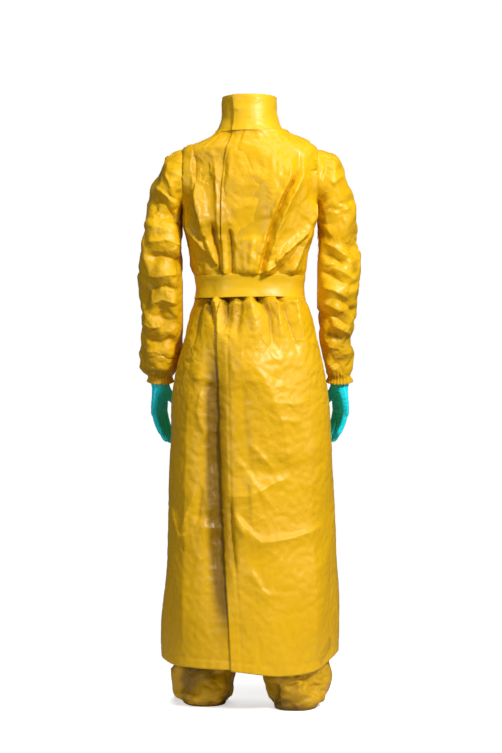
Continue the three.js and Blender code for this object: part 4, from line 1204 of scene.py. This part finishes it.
def bar(root, length, radius, tip, curl, turn):
    bend_radius = length / math.radians(curl)
    for step in range(33):
        s = step / 32
        bend = math.radians(curl) * s
        spot = Vector((bend_radius * math.cos(bend) - bend_radius, 0, -bend_radius * math.sin(bend)))
        joint = 1 + 0.05 * math.cos(s * math.pi * 4) * (1 - s)
        r = (radius + (tip - radius) * s) * joint
        if s > 0.9:
            r *= math.sqrt(max(0.1, 1 - ((s - 0.9) / 0.13) ** 2))
        blob(Vector(root) + turn @ spot, (r, r, r))


for step in range(54):
    level = -0.094 + 0.160 * step / 53
    thick, wide, shift = hermite(palm_rows, np.array([level]))[0]
    blob((0, shift, level), (thick, wide, 0.0055))
for y, length, radius, knuckle in fingers:
    bar((0, y, -0.066 - knuckle), length + 0.022, radius, radius * 0.82, 38, Matrix.Rotation(0, 3, "X"))
thumb_turn = Matrix.Rotation(math.radians(12), 3, "Z") @ Matrix.Rotation(math.radians(38), 3, "X")
bar((-0.005, 0.020, -0.022), 0.074, 0.013, 0.010, 24, thumb_turn)
blob((-0.004, 0.022, -0.040), (0.014, 0.016, 0.026))
hand_mesh = bpy.data.meshes.new("hand")
shape.to_mesh(hand_mesh)
shape.free()
hand = bpy.data.objects.new("hand", hand_mesh)
scene.collection.objects.link(hand)
skin = hand.modifiers.new("skin", "REMESH")
skin.mode = "VOXEL"
skin.voxel_size = 0.0017
skin.use_smooth_shade = True
even = hand.modifiers.new("even", "SMOOTH")
even.factor = 0.5
even.iterations = 7
hand_skin = bpy.data.meshes.new_from_object(hand.evaluated_get(bpy.context.evaluated_depsgraph_get()))
bpy.data.objects.remove(hand)
spots = corners(hand_skin)
# Loose nitrile wrinkles across the wrist, the palm and the roots of the fingers.
wrinkles = 0.0009 * ripples(spots, 0.011, 71, (1, 1, 1.8)) * smooth(-0.13, -0.05, spots[:, 2])
bunched = 0.0016 * np.sin(spots[:, 2] * 420 + 9 * ripples(spots, 0.03, 72))
wrinkles += bunched * np.exp(-(((spots[:, 2] + 0.004) / 0.016) ** 2)) * 0.5
place(hand_skin, spots + normals(hand_skin) * wrinkles[:, None])

glove_look = bpy.data.materials.new("nitrile")
glove_look.use_nodes = True
tree = glove_look.node_tree
shader = tree.nodes["Principled BSDF"]
spot = tree.nodes.new("ShaderNodeTexCoord")
grip = tree.nodes.new("ShaderNodeTexVoronoi")
grip.inputs["Scale"].default_value = 700
tree.links.new(spot.outputs["Object"], grip.inputs["Vector"])
bump = tree.nodes.new("ShaderNodeBump")
bump.inputs["Distance"].default_value = 0.00012
tree.links.new(grip.outputs["Distance"], bump.inputs["Height"])
tree.links.new(bump.outputs["Normal"], shader.inputs["Normal"])
clouds = tree.nodes.new("ShaderNodeTexNoise")
clouds.inputs["Scale"].default_value = 40
tree.links.new(spot.outputs["Object"], clouds.inputs["Vector"])
tint = tree.nodes.new("ShaderNodeMix")
tint.data_type = "RGBA"
tint.inputs["A"].default_value = (0.0, 0.70, 0.84, 1)
tint.inputs["B"].default_value = (0.003, 0.86, 1.0, 1)
tree.links.new(clouds.outputs["Fac"], tint.inputs["Factor"])
tree.links.new(tint.outputs["Result"], shader.inputs["Base Color"])
shader.inputs["Roughness"].default_value = 0.42

forearm = Vector((0.05997, 0.26652, -0.96196))
lean_down = Vector((0, 0, -1)).rotation_difference(forearm).to_matrix().to_4x4()
hand_place = Matrix.Translation((0.234, 0.070, 0.821)) @ lean_down @ Matrix.Rotation(math.radians(23), 4, "Z")
for side, lean in (("right", 1), ("left", -1)):
    shape = bmesh.new()
    shape.from_mesh(hand_skin)
    everything = shape.verts[:] + shape.edges[:] + shape.faces[:]
    bmesh.ops.bisect_plane(
        shape, geom=everything, plane_co=(0, 0, 0.064), plane_no=(0, 0, 1), clear_outer=True
    )
    bmesh.ops.transform(shape, matrix=hand_place, verts=shape.verts)
    if lean < 0:
        bmesh.ops.scale(shape, vec=(-1, 1, 1), verts=shape.verts)
        bmesh.ops.reverse_faces(shape, faces=shape.faces)
    mesh = bpy.data.meshes.new(f"glove_{side}")
    shape.to_mesh(mesh)
    shape.free()
    glove = bpy.data.objects.new(f"glove_{side}", mesh)
    scene.collection.objects.link(glove)
    sew_through(glove, 0.0006, [glove_look])
    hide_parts(f"glove_{side}")
    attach(glove, f"glove_{side}")
bpy.data.meshes.remove(hand_skin)


# ---- Overboots ----
# Knee-high bags of the same coated cloth over the wearer's shoes, on a thicker sole, with a tie round
# the ankle and an elastic round the top.

# Height, half width, heel and toe lengths and squareness.
boot_rows = [
    (0.0040, 0.0550, 0.084, 0.196, 2.4),
    (0.026, 0.0660, 0.092, 0.201, 2.3),
    (0.055, 0.0690, 0.093, 0.191, 2.2),
    (0.076, 0.0740, 0.092, 0.160, 2.1),
    (0.098, 0.0770, 0.089, 0.118, 2.0),
    (0.125, 0.0775, 0.086, 0.095, 2.0),
    (0.196, 0.0755, 0.084, 0.088, 2.0),
    (0.218, 0.0750, 0.084, 0.0875, 2.0),
    (0.343, 0.0740, 0.082, 0.085, 2.0),
    (0.425, 0.0680, 0.074, 0.077, 2.0),
    (0.437, 0.0620, 0.067, 0.070, 2.0),
    (0.441, 0.0610, 0.066, 0.069, 2.0),
]
boot_looks = coated_look("overboot", (0.60, 0.325, 0.002), 0.035, 0.16, 0.012, 0.18, 0.42)
boot_steps = np.array(boot_rows)
boot_run = np.concatenate([[0], np.cumsum(np.hypot(np.diff(boot_steps[:, 0]), np.diff(boot_steps[:, 3])))])


def on_boot(spot, turn, angle, height, out_by=0.0):
    half, heel, toe, square = hermite(boot_rows, height).T
    x, y = oval(angle, half + out_by, heel + out_by, toe + out_by, square)
    c, s = math.cos(turn), math.sin(turn)
    return np.stack([spot[0] + x * c - y * s, spot[1] + x * s + y * c, height + 0 * x], axis=1)


sole_look = bpy.data.materials.new("overboot_sole_grip")
sole_look.use_nodes = True
tree = sole_look.node_tree
shader = tree.nodes["Principled BSDF"]
spot = tree.nodes.new("ShaderNodeTexCoord")
ribs = tree.nodes.new("ShaderNodeTexWave")
ribs.inputs["Scale"].default_value = 90
ribs.inputs["Distortion"].default_value = 0.5
tree.links.new(spot.outputs["Object"], ribs.inputs["Vector"])
bump = tree.nodes.new("ShaderNodeBump")
bump.inputs["Distance"].default_value = 0.0006
tree.links.new(ribs.outputs["Fac"], bump.inputs["Height"])
tree.links.new(bump.outputs["Normal"], shader.inputs["Normal"])
tint = tree.nodes.new("ShaderNodeMix")
tint.data_type = "RGBA"
tint.inputs["A"].default_value = (0.20, 0.105, 0.008, 1)
tint.inputs["B"].default_value = (0.27, 0.145, 0.010, 1)
tree.links.new(ribs.outputs["Fac"], tint.inputs["Factor"])
tree.links.new(tint.outputs["Result"], shader.inputs["Base Color"])
shader.inputs["Roughness"].default_value = 0.75
boot_elastic_look = weave_look("boot_elastic", (0.80, 0.78, 0.70))

for side, spot, turn, seed in (("left", (-0.118, -0.012), 8, 41), ("right", (0.118, -0.072), -8, 96)):
    turn = math.radians(turn)
    upper, angle, along = cloth_tube(f"overboot_upper_{side}", 72, 96)
    height = np.interp(along * boot_run[-1], boot_run, boot_steps[:, 0])
    points = on_boot(spot, turn, angle, height)
    place(upper.data, points)
    hold = 0.03 + smooth(0.004, 0.0, height - 0.0045) + smooth(0.010, 0.004, np.abs(height - 0.207))
    hold = np.clip(hold + smooth(0.415, 0.430, height), 0, 1)
    buckle(upper, hold, grow=0.11, frames=16, bending=1.0, seed=seed, cap=0.012)
    finer(upper)
    points = corners(upper.data)
    chance = np.random.default_rng(seed)
    spread = points[chance.integers(len(points), size=300)]
    crush = crumpled(points, spread[:110], seed, 0.050, 0.36)
    crush += crumpled(points, spread[110:], seed + 1, 0.026, 0.14)
    crush = 0.009 * np.tanh(crush / 0.009)
    keep = smooth(0.008, 0.02, points[:, 2]) * smooth(0.008, 0.032, np.abs(points[:, 2] - 0.207))
    points = points + normals(upper.data) * (crush * keep * smooth(0.437, 0.395, points[:, 2]))[:, None]
    points[:, 2] = np.maximum(points[:, 2], 0.003)
    place(upper.data, points)
    # Painted shade: the boot's colour darkens in its creases, more so lower down, and all round its foot near
    # the floor.
    shade_lower_down = 0.4 + 0.6 * smooth(0.22, 0.12, points[:, 2])
    paint_fold_shade(upper, -crush * shade_lower_down / 0.009 - 0.15 + 0.6 * smooth(0.03, 0.0, points[:, 2]))
    sew_through(upper, 0.0012, boot_looks)
    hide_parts(f"overboot_upper_{side}")
    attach(upper, "overboots")

    mesh = bpy.data.meshes.new(f"overboot_sole_{side}")
    shape = bmesh.new()
    outline = bmesh.ops.create_circle(shape, cap_ends=True, segments=96, radius=1.0)["verts"]
    for vertex in outline:
        around = math.degrees(math.atan2(vertex.co.y, vertex.co.x))
        x, y = oval(around, 0.0545, 0.083, 0.1955, 2.5)
        sole_x = spot[0] + x * math.cos(turn) - y * math.sin(turn)
        sole_y = spot[1] + x * math.sin(turn) + y * math.cos(turn)
        vertex.co = (sole_x, sole_y, 0)
    top = bmesh.ops.extrude_face_region(shape, geom=shape.faces[:])
    raised = [g for g in top["geom"] if isinstance(g, bmesh.types.BMVert)]
    bmesh.ops.translate(shape, vec=(0, 0, 0.008), verts=raised)
    bmesh.ops.recalc_face_normals(shape, faces=shape.faces)
    rims = [e for e in shape.edges if abs(e.verts[0].co.z - e.verts[1].co.z) < 1e-6]
    bmesh.ops.bevel(shape, geom=rims, offset=0.0015, segments=2, affect="EDGES", profile=0.5, material=-1)
    shape.to_mesh(mesh)
    shape.free()
    sole = bpy.data.objects.new(mesh.name, mesh)
    scene.collection.objects.link(sole)
    mesh.materials.append(sole_look)
    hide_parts(f"overboot_sole_{side}")
    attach(sole, "overboots")

    for name, low, high, out_by, wall, looks, slot_name, strip in (
        ("ankle_tie", 0.197, 0.217, 0.0022, 0.0014, boot_looks, "boot_fabric", (0.020, 0.51)),
        ("top_elastic", 0.4255, 0.4370, -0.0035, 0.0010, [boot_elastic_look], "elastic", (0.012, 0.43)),
    ):
        band, angle, along = cloth_tube(f"overboot_{name}_{side}", 96, 6)
        points = on_boot(spot, turn, angle, low + (high - low) * along, out_by)
        middle = np.array([spot[0], spot[1], 0])
        away = (points - middle) * (1, 1, 0)
        away /= np.linalg.norm(away, axis=1, keepdims=True)
        place(band.data, points + away * (0.0008 * ripples(points, 0.02, seed + 5))[:, None])
        finer(band)
        sew_through(band, wall, looks)
        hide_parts(f"overboot_{name}_{side}")
        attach(band, "overboots")
